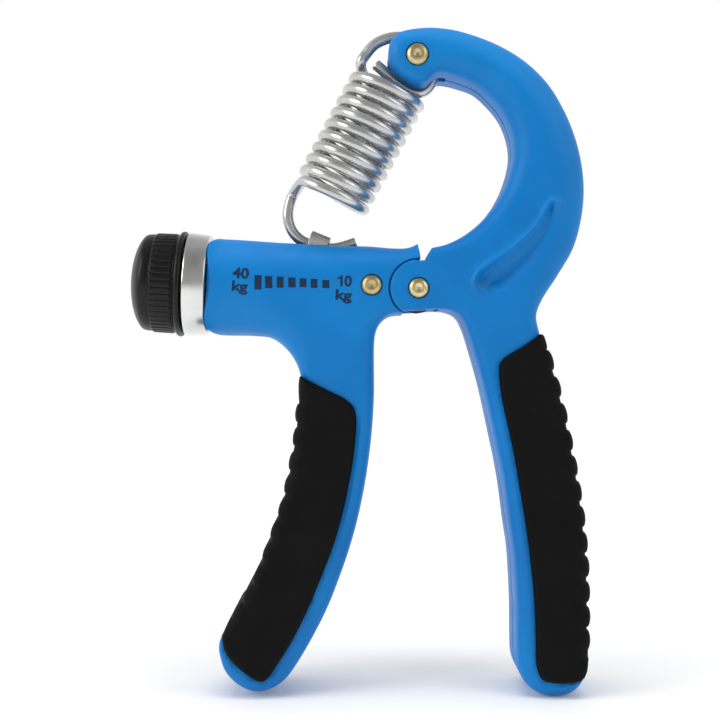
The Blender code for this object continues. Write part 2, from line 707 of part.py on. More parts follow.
# ------------------------------------------------------------------ collar, bushes and screw
collar = finish(
    screw_turned(
        "barrel_collar",
        [
            (0.0, SPIGOT_R + GAP), (0.0, COLLAR_R0 - 0.5), (0.35, COLLAR_R0 - 0.1), (0.9, COLLAR_R0),
            (COLLAR_LEN - 0.3, COLLAR_R1), (COLLAR_LEN, COLLAR_R1 - 0.25), (COLLAR_LEN, SPIGOT_R + GAP),
        ],
        40,
    ),
    "collar_steel",
)
front_bush = finish(
    screw_turned(
        "screw_front_bush",
        [(0.6, 3.25), (0.6, 4.8), (8.2, 4.8), (8.2, 3.25)],
        24,
    ),
    "turned_brass",
)
end_bush = finish(
    screw_turned(
        "screw_end_bush",
        [(37.2, 2.45), (37.2, 4.5), (40.3, 4.5), (40.3, 2.45)],
        24,
    ),
    "nylon",
)
screw = finish(
    screw_turned(
        "adjusting_screw",
        [
            (-9.4, 0.0), (-9.4, 2.5), (-9.0, SCREW_R), (8.6, SCREW_R), (8.6, 2.1), (9.5, 2.1),
            (9.5, SCREW_R), (36.6, SCREW_R), (36.6, JOURNAL_R), (39.9, JOURNAL_R), (39.9, 0.0),
        ],
        20,
    ),
    "plated_steel",
)
clip = screw_turned("retaining_clip", [(8.75, 2.4), (8.75, 4.9), (9.35, 4.9), (9.35, 2.4)], 28)
boolean(
    clip,
    box("cut_clip_mouth", (4.0, 3.6, 6.0), on_screw(9.05, -4.0), BARREL_TILT),
    "DIFFERENCE",
)
clip = finish(settle(clip), "plated_steel")

# ------------------------------------------------------------------ knob
knob = screw_turned(
    "knob_cap",
    [
        (-13.2, 0.0), (-13.0, 3.4), (-12.5, 6.4), (-11.6, 8.9), (-10.3, 10.7), (-8.9, 11.45),
        (-7.4, 11.6), (-2.0, 11.6), (-1.7, 12.3), (-1.1, 12.5), (-0.5, 12.3), (-0.35, 11.9),
        (-0.35, 9.6), (-1.6, 9.6), (-1.6, 0.0),
    ],
    40,
)
rib_profile = []
for k in range(KNOB_RIBS * 2):
    a = 2 * math.pi * k / (KNOB_RIBS * 2)
    r = KNOB_R if k % 2 == 0 else 11.35
    rib_profile.append((r * math.cos(a), r * math.sin(a)))
ribs = bpy.data.curves.new("knob_ribs_outline", "CURVE")
ribs.dimensions = "2D"
ribs.fill_mode = "BOTH"
ribs.extrude = 2.4 * MM
sp = ribs.splines.new("POLY")
sp.points.add(len(rib_profile) - 1)
for p, (x, y) in zip(sp.points, rib_profile):
    p.co = (x * MM, y * MM, 0, 1)
sp.use_cyclic_u = True
ribs = link(bpy.data.objects.new("knob_ribs_outline", ribs), CUTTERS)
ribs.rotation_mode = "QUATERNION"
ribs.rotation_quaternion = Vector((0, 0, 1)).rotation_difference(SCREW_DIR)
ribs.location = on_screw(-4.9) * MM
ribs = as_mesh(ribs, "knob_ribs", CUTTERS)
boolean(knob, ribs, "UNION")
boolean(knob, cylinder("cut_knob_bore", 4.6, on_screw(-10.0), on_screw(1.0), 28), "DIFFERENCE")
knob = finish(settle(knob), "knob_plastic", 50)

insert = finish(
    screw_turned(
        "knob_insert",
        [(-9.6, SCREW_R + GAP), (-9.6, 4.3), (-2.2, 4.3), (-2.2, SCREW_R + GAP)],
        20,
    ),
    "turned_brass",
)
thrust = finish(
    screw_turned(
        "thrust_washer",
        [(-0.9, SCREW_R + GAP), (-0.9, 6.8), (0.0, 6.8), (0.0, SCREW_R + GAP)],
        28,
    ),
    "plated_steel",
)

# ------------------------------------------------------------------ carriage
carriage = turned(
    "carriage_nut",
    [
        (PIN_ALONG - NUT_LEN / 2, 0.0), (PIN_ALONG - NUT_LEN / 2, NUT_R - 0.5),
        (PIN_ALONG - NUT_LEN / 2 + 0.5, NUT_R), (PIN_ALONG + NUT_LEN / 2 - 0.5, NUT_R),
        (PIN_ALONG + NUT_LEN / 2, NUT_R - 0.5), (PIN_ALONG + NUT_LEN / 2, 0.0),
    ],
    BARREL_ORIGIN * MM,
    SCREW_DIR,
    32,
)
boolean(
    carriage,
    box("cut_nut_top", (20, 20, 6), on_screw(PIN_ALONG, 3.95 + 3.0), BARREL_TILT),
    "DIFFERENCE",
)
PIN_UP = (Vector((HOOK_AXIS[0], 0, HOOK_AXIS[1])) - on_screw(PIN_ALONG)).length
lug = slab(
    "nut_lug",
    [tuple(Vector((p.x, p.z))) for p in (on_screw(PIN_ALONG - 2.6, 3.4), on_screw(PIN_ALONG + 2.6, 3.4))]
    + [(HOOK_AXIS[0] + 1.9 * math.cos(a), HOOK_AXIS[1] + 1.9 * math.sin(a)) for a in [math.radians(d) for d in range(-12, 193, 17)]],
    -1.3,
    1.3,
    where=CUTTERS,
)
boolean(carriage, lug, "UNION")
boolean(carriage, cylinder("cut_nut_thread", SCREW_R + GAP, on_screw(10), on_screw(45), 20), "DIFFERENCE")
boolean(carriage, y_hole("cut_pin_hole", HOOK_AXIS, PIN_R + GAP, -8, 8, 16), "DIFFERENCE")
carriage = finish(settle(carriage), "turned_brass")

hook_pin = finish(
    turned(
        "hook_pin",
        [(-3.0, 0.0), (-3.0, PIN_R - 0.15), (-2.85, PIN_R), (2.85, PIN_R), (3.0, PIN_R - 0.15), (3.0, 0.0)],
        Vector(xz(HOOK_AXIS)) * MM,
        (0, 1, 0),
        16,
    ),
    "plated_steel",
)

SV = Vector((math.sin(STIRRUP_TILT), math.cos(STIRRUP_TILT)))
SU = Vector((math.cos(STIRRUP_TILT), -math.sin(STIRRUP_TILT)))


def on_stirrup(u, v):
    p = Vector(HOOK_AXIS) + SU * u + SV * v
    return (p.x, p.y)


w = STIRRUP_HALF_WIDTH
stirrup_outline = (
    [on_stirrup(-w, 5.6), on_stirrup(-w + 0.25, 7.0), on_stirrup(-w + 0.9, STIRRUP_TOP)]
    + [on_stirrup(w - 0.9, STIRRUP_TOP), on_stirrup(w - 0.25, 7.0), on_stirrup(w, 5.6)]
    + [on_stirrup(2.0 * math.cos(a), 2.0 * math.sin(a)) for a in [math.radians(d) for d in range(0, -181, -20)]]
)
stirrup = slab("hook_stirrup", stirrup_outline, -LEG_OUT, LEG_OUT, 0.35, (-LEG_OUT, LEG_OUT), 1)
c = on_stirrup(0, STIRRUP_UNDER - 10.0)
boolean(
    stirrup,
    box("cut_stirrup_mouth", (12, 2 * LEG_IN, 20), (c[0], 0, c[1]), STIRRUP_TILT),
    "DIFFERENCE",
)
boolean(stirrup, y_hole("cut_stirrup_hole", HOOK_AXIS, PIN_R + GAP, -8, 8, 16), "DIFFERENCE")
stirrup = finish(settle(stirrup), "sheet_steel")


# ------------------------------------------------------------------ spring
def coil_point(turn):
    """A point on the coil's centre line; turn 0 is its lower left, climbing past the near side."""
    a = math.pi + 2 * math.pi * turn
    s = turn / COIL_TURNS
    base = Vector(xz(COIL_LOW)).lerp(Vector(xz(COIL_HIGH)), s)
    return base + COIL_SIDE * (COIL_R * math.cos(a)) + Vector((0, COIL_R * math.sin(a), 0))


LOWER_LOOP = [
    (-0.35, 105.15), (-2.9, 104.3), (-5.3, 103.75), (-7.6, 103.8), (-9.7, 104.25), (-11.7, 104.85), (-13.6, 105.8),
    (-15.3, 107.5), (-16.3, 109.7), (-16.55, 112.0), (-16.1, 114.6), (-15.1, 116.9),
]
UPPER_LOOP = [
    (0.6, 147.9), (1.5, 150.3), (3.4, 152.6), (6.0, 153.8), (8.9, 154.15), (12.0, 153.75), (15.2, 152.2),
    (17.5, 149.9), (18.5, 147.2), (18.5, 144.6), (17.7, 142.6), (16.3, 141.4), (14.2, 141.0),
    (11.2, 142.1), (7.8, 144.5), (4.3, 147.4),
]


def wire_path(per_turn=11):
    """The wire's centre line from its lower free end to its upper one, and the index of each coil turn."""
    low = smooth_open(
        [(x, 0.0, z) for x, z in LOWER_LOOP] + [tuple(coil_point(t)) for t in (0.09, 0.15)], 2.2
    )[:-1]
    coil = [tuple(coil_point(0.15 + (COIL_TURNS - 0.3) * k / (per_turn * COIL_TURNS)))
            for k in range(per_turn * COIL_TURNS + 1)]
    high = smooth_open(
        [tuple(coil_point(COIL_TURNS - t)) for t in (0.15, 0.09)] + [(x, 0.0, z) for x, z in UPPER_LOOP], 2.2
    )[1:]
    return low, coil, high


low, coil, high = wire_path()
n = len(coil) - 1


def share(turn):
    return int(round((turn - 0.15) / (COIL_TURNS - 0.3) * n))


def trimmed(path, start, end):
    """The path with its ends pulled in, so that the pieces keep their gap."""
    pts = [Vector(p) for p in path]
    if start:
        pts[0] = pts[0] + (pts[1] - pts[0]).normalized() * start
    if end:
        pts[-1] = pts[-1] + (pts[-2] - pts[-1]).normalized() * end
    return pts


def cut_point(turn):
    """The middle of the straight length where two pieces of the spring meet."""
    k = share(turn)
    return k, tuple((Vector(coil[k]) + Vector(coil[k + 1])) / 2)


k1, m1 = cut_point(0.15)
k5, m5 = cut_point(5.0)
k9, m9 = cut_point(9.0)
HALF_GAP = GAP / 2
wires = {
    "spring_lower_hook": trimmed(low + coil[: k1 + 1] + [m1], 0, HALF_GAP),
    "spring_lower_coil": trimmed([m1] + coil[k1 + 1 : k5 + 1] + [m5], HALF_GAP, HALF_GAP),
    "spring_upper_coil": trimmed([m5] + coil[k5 + 1 : k9 + 1] + [m9], HALF_GAP, HALF_GAP),
    "spring_upper_hook": trimmed([m9] + coil[k9 + 1 :] + high, HALF_GAP, 0),
}
spring_low, spring_a, spring_b, spring_top = [
    finish(tube(name, path, WIRE_R), "spring_wire", 60) for name, path in wires.items()
]


# ------------------------------------------------------------------ joint axes as parent empties
def axis_empty(name, point, children):
    e = bpy.data.objects.new(name, None)
    e.empty_display_type = "PLAIN_AXES"
    e.empty_display_size = 0.01
    e.location = Vector(point) * MM
    AXES.objects.link(e)
    bpy.context.view_layer.update()
    for child in children:
        child.parent = e
        child.matrix_parent_inverse = e.matrix_world.inverted()
    return e


axis_empty("handle_axis", xz(PIVOT), [rear_near, rear_far, rear_pad, head_rivet, head_bush])
axis_empty("knob_axis", on_screw(0), [knob, insert, screw, clip])
axis_empty("carriage_axis", on_screw(PIN_ALONG), [carriage, hook_pin])
axis_empty("hook_axis", xz(HOOK_AXIS), [stirrup])
axis_empty("hook_swing_axis", xz(on_stirrup(0, STIRRUP_SWING)), [spring_low, spring_a, spring_b, spring_top])
# the outlines' datum is moved onto the frame's origin
for o in list(PARTS.objects) + list(AXES.objects):
    if o.parent is None:
        o.location = o.location + Vector(DATUM_SHIFT) * MM
for o in list(CUTTERS.objects):
    o.hide_render = True
    o.display_type = "WIRE"
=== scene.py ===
import math

import bmesh
import bpy
import numpy as np
from mathutils import Matrix, Vector, geometry, kdtree

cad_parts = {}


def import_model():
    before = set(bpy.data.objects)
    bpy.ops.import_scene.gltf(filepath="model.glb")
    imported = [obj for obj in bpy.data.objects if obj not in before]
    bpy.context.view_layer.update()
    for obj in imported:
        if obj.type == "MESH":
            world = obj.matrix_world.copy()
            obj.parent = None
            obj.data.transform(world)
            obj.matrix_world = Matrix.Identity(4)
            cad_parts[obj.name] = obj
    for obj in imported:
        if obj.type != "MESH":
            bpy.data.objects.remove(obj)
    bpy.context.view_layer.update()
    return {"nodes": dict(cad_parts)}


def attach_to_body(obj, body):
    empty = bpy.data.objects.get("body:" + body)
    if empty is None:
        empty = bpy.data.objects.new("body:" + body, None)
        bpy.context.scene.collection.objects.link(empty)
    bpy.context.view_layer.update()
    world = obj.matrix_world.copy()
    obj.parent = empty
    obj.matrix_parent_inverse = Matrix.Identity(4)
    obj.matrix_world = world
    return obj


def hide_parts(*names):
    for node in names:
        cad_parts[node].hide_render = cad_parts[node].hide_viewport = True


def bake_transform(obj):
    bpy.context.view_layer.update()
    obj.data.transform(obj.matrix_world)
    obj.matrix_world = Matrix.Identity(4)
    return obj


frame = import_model()

MM = 0.001
DX, DZ = -0.08405, 0.6            # outline datum to the row frame, mm

# ------------------------------------------------------------------ numbers shared with the CAD (mm)
PIVOT = (14.1, 93.8)
HEAD = (13.8, 147.6)
BARREL_RIVET = (3.3, 94.5)
HOOK = (-11.2, 100.0)
TILT = math.radians(3.0)
U = Vector((math.cos(TILT), 0.0, -math.sin(TILT)))
UP = Vector((math.sin(TILT), 0.0, math.cos(TILT)))
BARREL0 = Vector((-40.45, 0.0, 95.19))
PIN_S = (Vector((HOOK[0], 0, HOOK[1])) - BARREL0).dot(U)
H_SHELL = 10.3
H_PAD = 11.3
COIL_LOW = Vector((-6.58, 0.0, 115.5))
COIL_HIGH = Vector((7.95, 0.0, 142.75))
COIL_AXIS = (COIL_HIGH - COIL_LOW).normalized()
COIL_SIDE = Vector((COIL_AXIS.z, 0.0, -COIL_AXIS.x))
COIL_R, WIRE_R, TURNS = 8.35, 1.3, 10


def on_screw(s, up=0.0):
    return BARREL0 + U * s + UP * up


def world(p):
    """Outline millimetres to metres in the row frame."""
    return Vector(((p[0] + DX) * MM, p[1] * MM, (p[2] + DZ) * MM))


# ------------------------------------------------------------------ materials
def nodes_of(name):
    m = bpy.data.materials.new(name)
    m.use_nodes = True
    nt = m.node_tree
    nt.nodes.clear()
    out = nt.nodes.new("ShaderNodeOutputMaterial")
    bsdf = nt.nodes.new("ShaderNodeBsdfPrincipled")
    nt.links.new(bsdf.outputs[0], out.inputs[0])
    return m, nt, bsdf


def noise(nt, coord, scale, detail=2.0, rough=0.5, stretch=None):
    if stretch is not None:
        mp = nt.nodes.new("ShaderNodeMapping")
        mp.inputs["Scale"].default_value = stretch
        nt.links.new(coord, mp.inputs["Vector"])
        coord = mp.outputs["Vector"]
    n = nt.nodes.new("ShaderNodeTexNoise")
    n.inputs["Scale"].default_value = scale
    n.inputs["Detail"].default_value = detail
    n.inputs["Roughness"].default_value = rough
    nt.links.new(coord, n.inputs["Vector"])
    return n.outputs["Fac"]


def ramp(nt, fac, lo, hi, a, b):
    """Maps fac from lo..hi to a..b."""
    m = nt.nodes.new("ShaderNodeMapRange")
    m.inputs["From Min"].default_value = lo
    m.inputs["From Max"].default_value = hi
    m.inputs["To Min"].default_value = a
    m.inputs["To Max"].default_value = b
    m.clamp = True
    nt.links.new(fac, m.inputs["Value"])
    return m.outputs["Result"]


def mix(nt, fac, a, b):
    m = nt.nodes.new("ShaderNodeMix")
    m.data_type = "RGBA"
    for sock, v in ((m.inputs["Factor"], fac), (m.inputs["A"], a), (m.inputs["B"], b)):
        if isinstance(v, (tuple, list)):
            sock.default_value = (*v[:3], 1.0)
        elif isinstance(v, float):
            sock.default_value = v
        else:
            nt.links.new(v, sock)
    return m.outputs["Result"]


def bump(nt, bsdf, heights):
    """heights: list of (fac, strength, distance)."""
    last = None
    for fac, strength, dist in heights:
        b = nt.nodes.new("ShaderNodeBump")
        b.inputs["Strength"].default_value = strength
        b.inputs["Distance"].default_value = dist
        nt.links.new(fac, b.inputs["Height"])
        if last is not None:
            nt.links.new(last, b.inputs["Normal"])
        last = b.outputs["Normal"]
    nt.links.new(last, bsdf.inputs["Normal"])


def object_coords(nt):
    return nt.nodes.new("ShaderNodeTexCoord").outputs["Object"]


def plastic(name, dark, light, rough=0.36, spec=0.5, grain=0.05, wear=None):
    m, nt, b = nodes_of(name)
    co = object_coords(nt)
    big = noise(nt, co, 38.0, 3.0, 0.55)
    col = mix(nt, ramp(nt, big, 0.3, 0.7, 0.0, 1.0), dark, light)
    if wear:
        fine = noise(nt, co, 900.0, 4.0, 0.7)
        col = mix(nt, ramp(nt, fine, 0.62, 0.78, 0.0, 0.22), col, wear)
    nt.links.new(col, b.inputs["Base Color"])
    smudge = noise(nt, co, 120.0, 5.0, 0.6)
    nt.links.new(ramp(nt, smudge, 0.25, 0.75, rough - 0.05, rough + 0.07), b.inputs["Roughness"])
    b.inputs["Specular IOR Level"].default_value = spec
    scratch = noise(nt, co, 260.0, 3.0, 0.6, (1.0, 1.0, 14.0))
    bump(nt, b, [(noise(nt, co, 1500.0, 3.0, 0.6), grain, 0.00003), (scratch, grain * 0.5, 0.00002)])
    return m


def rubber(name, dark, light):
    m, nt, b = nodes_of(name)
    co = object_coords(nt)
    col = mix(nt, ramp(nt, noise(nt, co, 55.0, 4.0, 0.6), 0.3, 0.7, 0.0, 1.0), dark, light)
    dust = noise(nt, co, 1400.0, 4.0, 0.7)
    col = mix(nt, ramp(nt, dust, 0.66, 0.82, 0.0, 0.25), col, (0.02, 0.02, 0.02))
    nt.links.new(col, b.inputs["Base Color"])
    nt.links.new(ramp(nt, noise(nt, co, 90.0, 4.0, 0.6), 0.25, 0.75, 0.58, 0.76), b.inputs["Roughness"])
    b.inputs["Specular IOR Level"].default_value = 0.14
    vor = nt.nodes.new("ShaderNodeTexVoronoi")
    vor.inputs["Scale"].default_value = 1900.0
    nt.links.new(co, vor.inputs["Vector"])
    bump(nt, b, [(vor.outputs["Distance"], 0.16, 0.00006), (noise(nt, co, 700.0, 3.0, 0.6), 0.08, 0.00005)])
    return m


def metal(name, dark, light, rough, brushed=None, grain=0.03, tarnish=None, metallic=1.0):
    m, nt, b = nodes_of(name)
    co = object_coords(nt)
    col = mix(nt, ramp(nt, noise(nt, co, 160.0, 4.0, 0.6), 0.3, 0.7, 0.0, 1.0), dark, light)
    if tarnish:
        t = noise(nt, co, 420.0, 5.0, 0.7)
        col = mix(nt, ramp(nt, t, 0.58, 0.8, 0.0, 0.5), col, tarnish)
    nt.links.new(col, b.inputs["Base Color"])
    b.inputs["Metallic"].default_value = metallic
    nt.links.new(ramp(nt, noise(nt, co, 300.0, 4.0, 0.6), 0.25, 0.75, rough * 0.75, rough * 1.35), b.inputs["Roughness"])
    lines = noise(nt, co, 500.0, 3.0, 0.6, brushed or (1.0, 1.0, 1.0))
    bump(nt, b, [(lines, grain, 0.00003)])
    return m


BLUE_D, BLUE_L = (0.001, 0.160, 0.490), (0.002, 0.212, 0.580)
MATS = {
    "blue": plastic("blue_plastic", BLUE_D, BLUE_L, 0.45, 0.22, 0.05),
    "black": plastic("black_plastic", (0.003, 0.003, 0.003), (0.006, 0.006, 0.006), 0.34, 0.26, 0.08, (0.03, 0.03, 0.03)),
    "rubber": rubber("soft_rubber", (0.0015, 0.0015, 0.0015), (0.003, 0.003, 0.003)),
    "ink": plastic("scale_ink", (0.003, 0.018, 0.055), (0.005, 0.026, 0.075), 0.5, 0.3, 0.1),
    "collar": metal("collar_plate", (0.66, 0.66, 0.65), (0.76, 0.76, 0.75), 0.22, (1.0, 12.0, 12.0), 0.03),
    "chrome": metal("spring_plate", (0.50, 0.50, 0.495), (0.66, 0.66, 0.65), 0.25, None, 0.04, None, 0.85),
    "brass": metal("rivet_brass_worn", (0.54, 0.42, 0.20), (0.76, 0.64, 0.37), 0.36, None, 0.10, (0.36, 0.28, 0.12)),
    "turned": metal("turned_brass_lines", (0.70, 0.54, 0.26), (0.82, 0.66, 0.36), 0.28, (10.0, 1.0, 10.0), 0.06),
    "steel": metal("zinc_steel", (0.62, 0.62, 0.61), (0.74, 0.74, 0.73), 0.24, (8.0, 1.0, 1.0), 0.06),
    "sheet": metal("pressed_sheet", (0.66, 0.65, 0.62), (0.82, 0.81, 0.78), 0.24, (1.0, 8.0, 1.0), 0.10, (0.34, 0.30, 0.24)),
    "nylon": plastic("dark_nylon", (0.030, 0.032, 0.036), (0.045, 0.047, 0.052), 0.5, 0.4, 0.06),
}


# ------------------------------------------------------------------ mesh helpers
def new_object(name, verts, faces, mat, smooth_angle=40.0):
    """verts in outline millimetres."""
    me = bpy.data.meshes.new(name)
    me.from_pydata([world(v) for v in verts], [], faces)
    me.update()
    return wrap(name, me, mat, smooth_angle)


def wrap(name, me, mat, smooth_angle=40.0):
    bm = bmesh.new()
    bm.from_mesh(me)
    bmesh.ops.remove_doubles(bm, verts=bm.verts, dist=2e-7)
    bmesh.ops.recalc_face_normals(bm, faces=bm.faces)
    bm.to_mesh(me)
    bm.free()
    me.materials.clear()
    me.materials.append(mat)
    o = bpy.data.objects.new(name, me)
    bpy.context.scene.collection.objects.link(o)
    shade(o, smooth_angle)
    return o


def shade(o, angle):
    o.data.shade_smooth()
    o.data.set_sharp_from_angle(angle=math.radians(angle))


def cut(obj, cutters, operation="DIFFERENCE", angle=38.0):
    """Boolean, applied at once; the cutters are removed."""
    for c in cutters:
        mod = obj.modifiers.new("b", "BOOLEAN")
        mod.operation = operation
        mod.solver = "EXACT"
        mod.object = c
    bpy.context.view_layer.update()
    dg = bpy.context.evaluated_depsgraph_get()
    me = bpy.data.meshes.new_from_object(obj.evaluated_get(dg))
    mats = [s.material for s in obj.material_slots]
    obj.modifiers.clear()
    old = obj.data
    obj.data = me
    me.materials.clear()
    me.materials.append(mats[0])
    for p in me.polygons:
        p.material_index = 0
    bpy.data.meshes.remove(old)
    for c in cutters:
        d = c.data
        bpy.data.objects.remove(c, do_unlink=True)
        bpy.data.meshes.remove(d)
    shade(obj, angle)
    return obj


def mirrored(obj, name):
    """A copy on the other side of the mid-plane."""
    me = obj.data.copy()
    me.transform(Matrix.Diagonal((1, -1, 1, 1)))
    me.flip_normals()
    o = bpy.data.objects.new(name, me)
    bpy.context.scene.collection.objects.link(o)
    return o


def cylinder(radius, a, b, segments=64):
    a, b = world(a), world(b)
    me = bpy.data.meshes.new("cutter")
    bm = bmesh.new()
    bmesh.ops.create_cone(bm, cap_ends=True, segments=segments, radius1=radius * MM, radius2=radius * MM, depth=(b - a).length)
    q = Vector((0, 0, 1)).rotation_difference((b - a).normalized())
    bmesh.ops.transform(bm, matrix=Matrix.Translation((a + b) / 2) @ q.to_matrix().to_4x4(), verts=bm.verts)
    bm.to_mesh(me)
    bm.free()
    o = bpy.data.objects.new("cutter", me)
    bpy.context.scene.collection.objects.link(o)
    return o


def block(size, centre, turn=0.0):
    me = bpy.data.meshes.new("cutter")
    bm = bmesh.new()
    bmesh.ops.create_cube(bm, size=1.0)
    m = Matrix.Translation(world(centre)) @ Matrix.Rotation(turn, 4, "Y") @ Matrix.Diagonal((*[s * MM for s in size], 1))
    bmesh.ops.transform(bm, matrix=m, verts=bm.verts)
    bm.to_mesh(me)
    bm.free()
    o = bpy.data.objects.new("cutter", me)
    bpy.context.scene.collection.objects.link(o)
    return o


# ------------------------------------------------------------------ outlines
def run(pts, step):
    """An open Catmull-Rom line through control points, every component interpolated."""
    P = [np.array(p, float) for p in pts]
    P = [2 * P[0] - P[1]] + P + [2 * P[-1] - P[-2]]
    out = []
    for i in range(1, len(P) - 2):
        p0, p1, p2, p3 = P[i - 1], P[i], P[i + 1], P[i + 2]
        n = max(1, int(round(np.linalg.norm((p2 - p1)[:2]) / step)))
        for k in range(n):
            t = k / n
            out.append(0.5 * (2 * p1 + (p2 - p0) * t + (2 * p0 - 5 * p1 + 4 * p2 - p3) * t * t + (3 * p1 - p0 - 3 * p2 + p3) * t ** 3))
    out.append(P[-2])
    return out


def loop(runs, step=0.7):
    """runs: list of (points, (width, depth)) or points carrying their own (x, z, width, depth).
    Each run starts where the last one ended, at a corner."""
    out = []
    for k, (pts, edge) in enumerate(runs):
        if edge is not None:
            pts = [(*p[:2], *edge) for p in pts]
        line = run(pts, step)
        out += [np.array([*q[:2], max(q[2], 0.15), max(q[3], 0.1)]) for q in line[:-1]]
    return np.array(out)


def closed(pts, step=0.7):
    n = len(pts)
    P = [np.array(p, float) for p in pts]
    out = []
    for i in range(n):
        p0, p1, p2, p3 = P[i - 1], P[i], P[(i + 1) % n], P[(i + 2) % n]
        m = max(1, int(round(np.linalg.norm((p2 - p1)[:2]) / step)))
        for k in range(m):
            t = k / m
            out.append(0.5 * (2 * p1 + (p2 - p0) * t + (2 * p0 - 5 * p1 + 4 * p2 - p3) * t * t + (3 * p1 - p0 - 3 * p2 + p3) * t ** 3))
    return np.array(out)


def arc(c, r, a0, a1, n):
    return [(c[0] + r * math.cos(math.radians(a0 + (a1 - a0) * k / (n - 1))),
             c[1] + r * math.sin(math.radians(a0 + (a1 - a0) * k / (n - 1)))) for k in range(n)]


def seg_field(P, L):
    """Distance from points P to the closed loop L (n x 4), and the edge drop there."""
    A, B = L[:, :2], np.roll(L[:, :2], -1, axis=0)
    EA, EB = L[:, 2:4], np.roll(L[:, 2:4], -1, axis=0)
    D = B - A
    DD = np.maximum((D ** 2).sum(1), 1e-12)
    dist = np.empty(len(P))
    drop = np.empty(len(P))
    for i in range(0, len(P), 1500):
        Q = P[i : i + 1500]
        T = np.clip((((Q[:, None, :] - A[None]) * D[None]).sum(2)) / DD[None], 0, 1)
        C = A[None] + T[..., None] * D[None]
        d = np.sqrt(((Q[:, None, :] - C) ** 2).sum(2))
        w = EA[None, :, 0] * (1 - T) + EB[None, :, 0] * T
        e = EA[None, :, 1] * (1 - T) + EB[None, :, 1] * T
        x = 1 - np.minimum(d / w, 1)
        dist[i : i + 1500] = d.min(1)
        drop[i : i + 1500] = (e * (1 - np.sqrt(np.maximum(0, 1 - x * x)))).max(1)
    return dist, drop


def inside(P, L):
    x, z = P[:, 0], P[:, 1]
    A, B = L[:, :2], np.roll(L[:, :2], -1, axis=0)
    hit = np.zeros(len(P), bool)
    for a, b in zip(A, B):
        c = (a[1] > z) != (b[1] > z)
        with np.errstate(divide="ignore", invalid="ignore"):
            t = (z - a[1]) / (b[1] - a[1])
        hit ^= c & (x < a[0] + t * (b[0] - a[0]))
    return hit


def signed(P, L):
    """Distance to loop L, positive inside."""
    A, B = L[:, :2], np.roll(L[:, :2], -1, axis=0)
    D = B - A
    DD = np.maximum((D ** 2).sum(1), 1e-12)
    out = np.empty(len(P))
    for i in range(0, len(P), 2000):
        Q = P[i : i + 2000]
        T = np.clip((((Q[:, None, :] - A[None]) * D[None]).sum(2)) / DD[None], 0, 1)
        C = A[None] + T[..., None] * D[None]
        out[i : i + 2000] = np.sqrt(((Q[:, None, :] - C) ** 2).sum(2)).min(1)
    return np.where(inside(P, L), out, -out)


def smooth(a, b, x):
    t = np.clip((x - a) / (b - a), 0, 1)
    return t * t * (3 - 2 * t)


def normals_in(L):
    T = np.roll(L[:, :2], -1, axis=0) - np.roll(L[:, :2], 1, axis=0)
    T /= np.maximum(np.linalg.norm(T, axis=1, keepdims=True), 1e-9)
    N = np.stack([-T[:, 1], T[:, 0]], 1)
    area = (L[:, 0] * np.roll(L[:, 1], -1) - np.roll(L[:, 0], -1) * L[:, 1]).sum()
    return N if area > 0 else -N


RINGS = [0.012, 0.06, 0.14, 0.25, 0.39, 0.56, 0.76, 1.0]


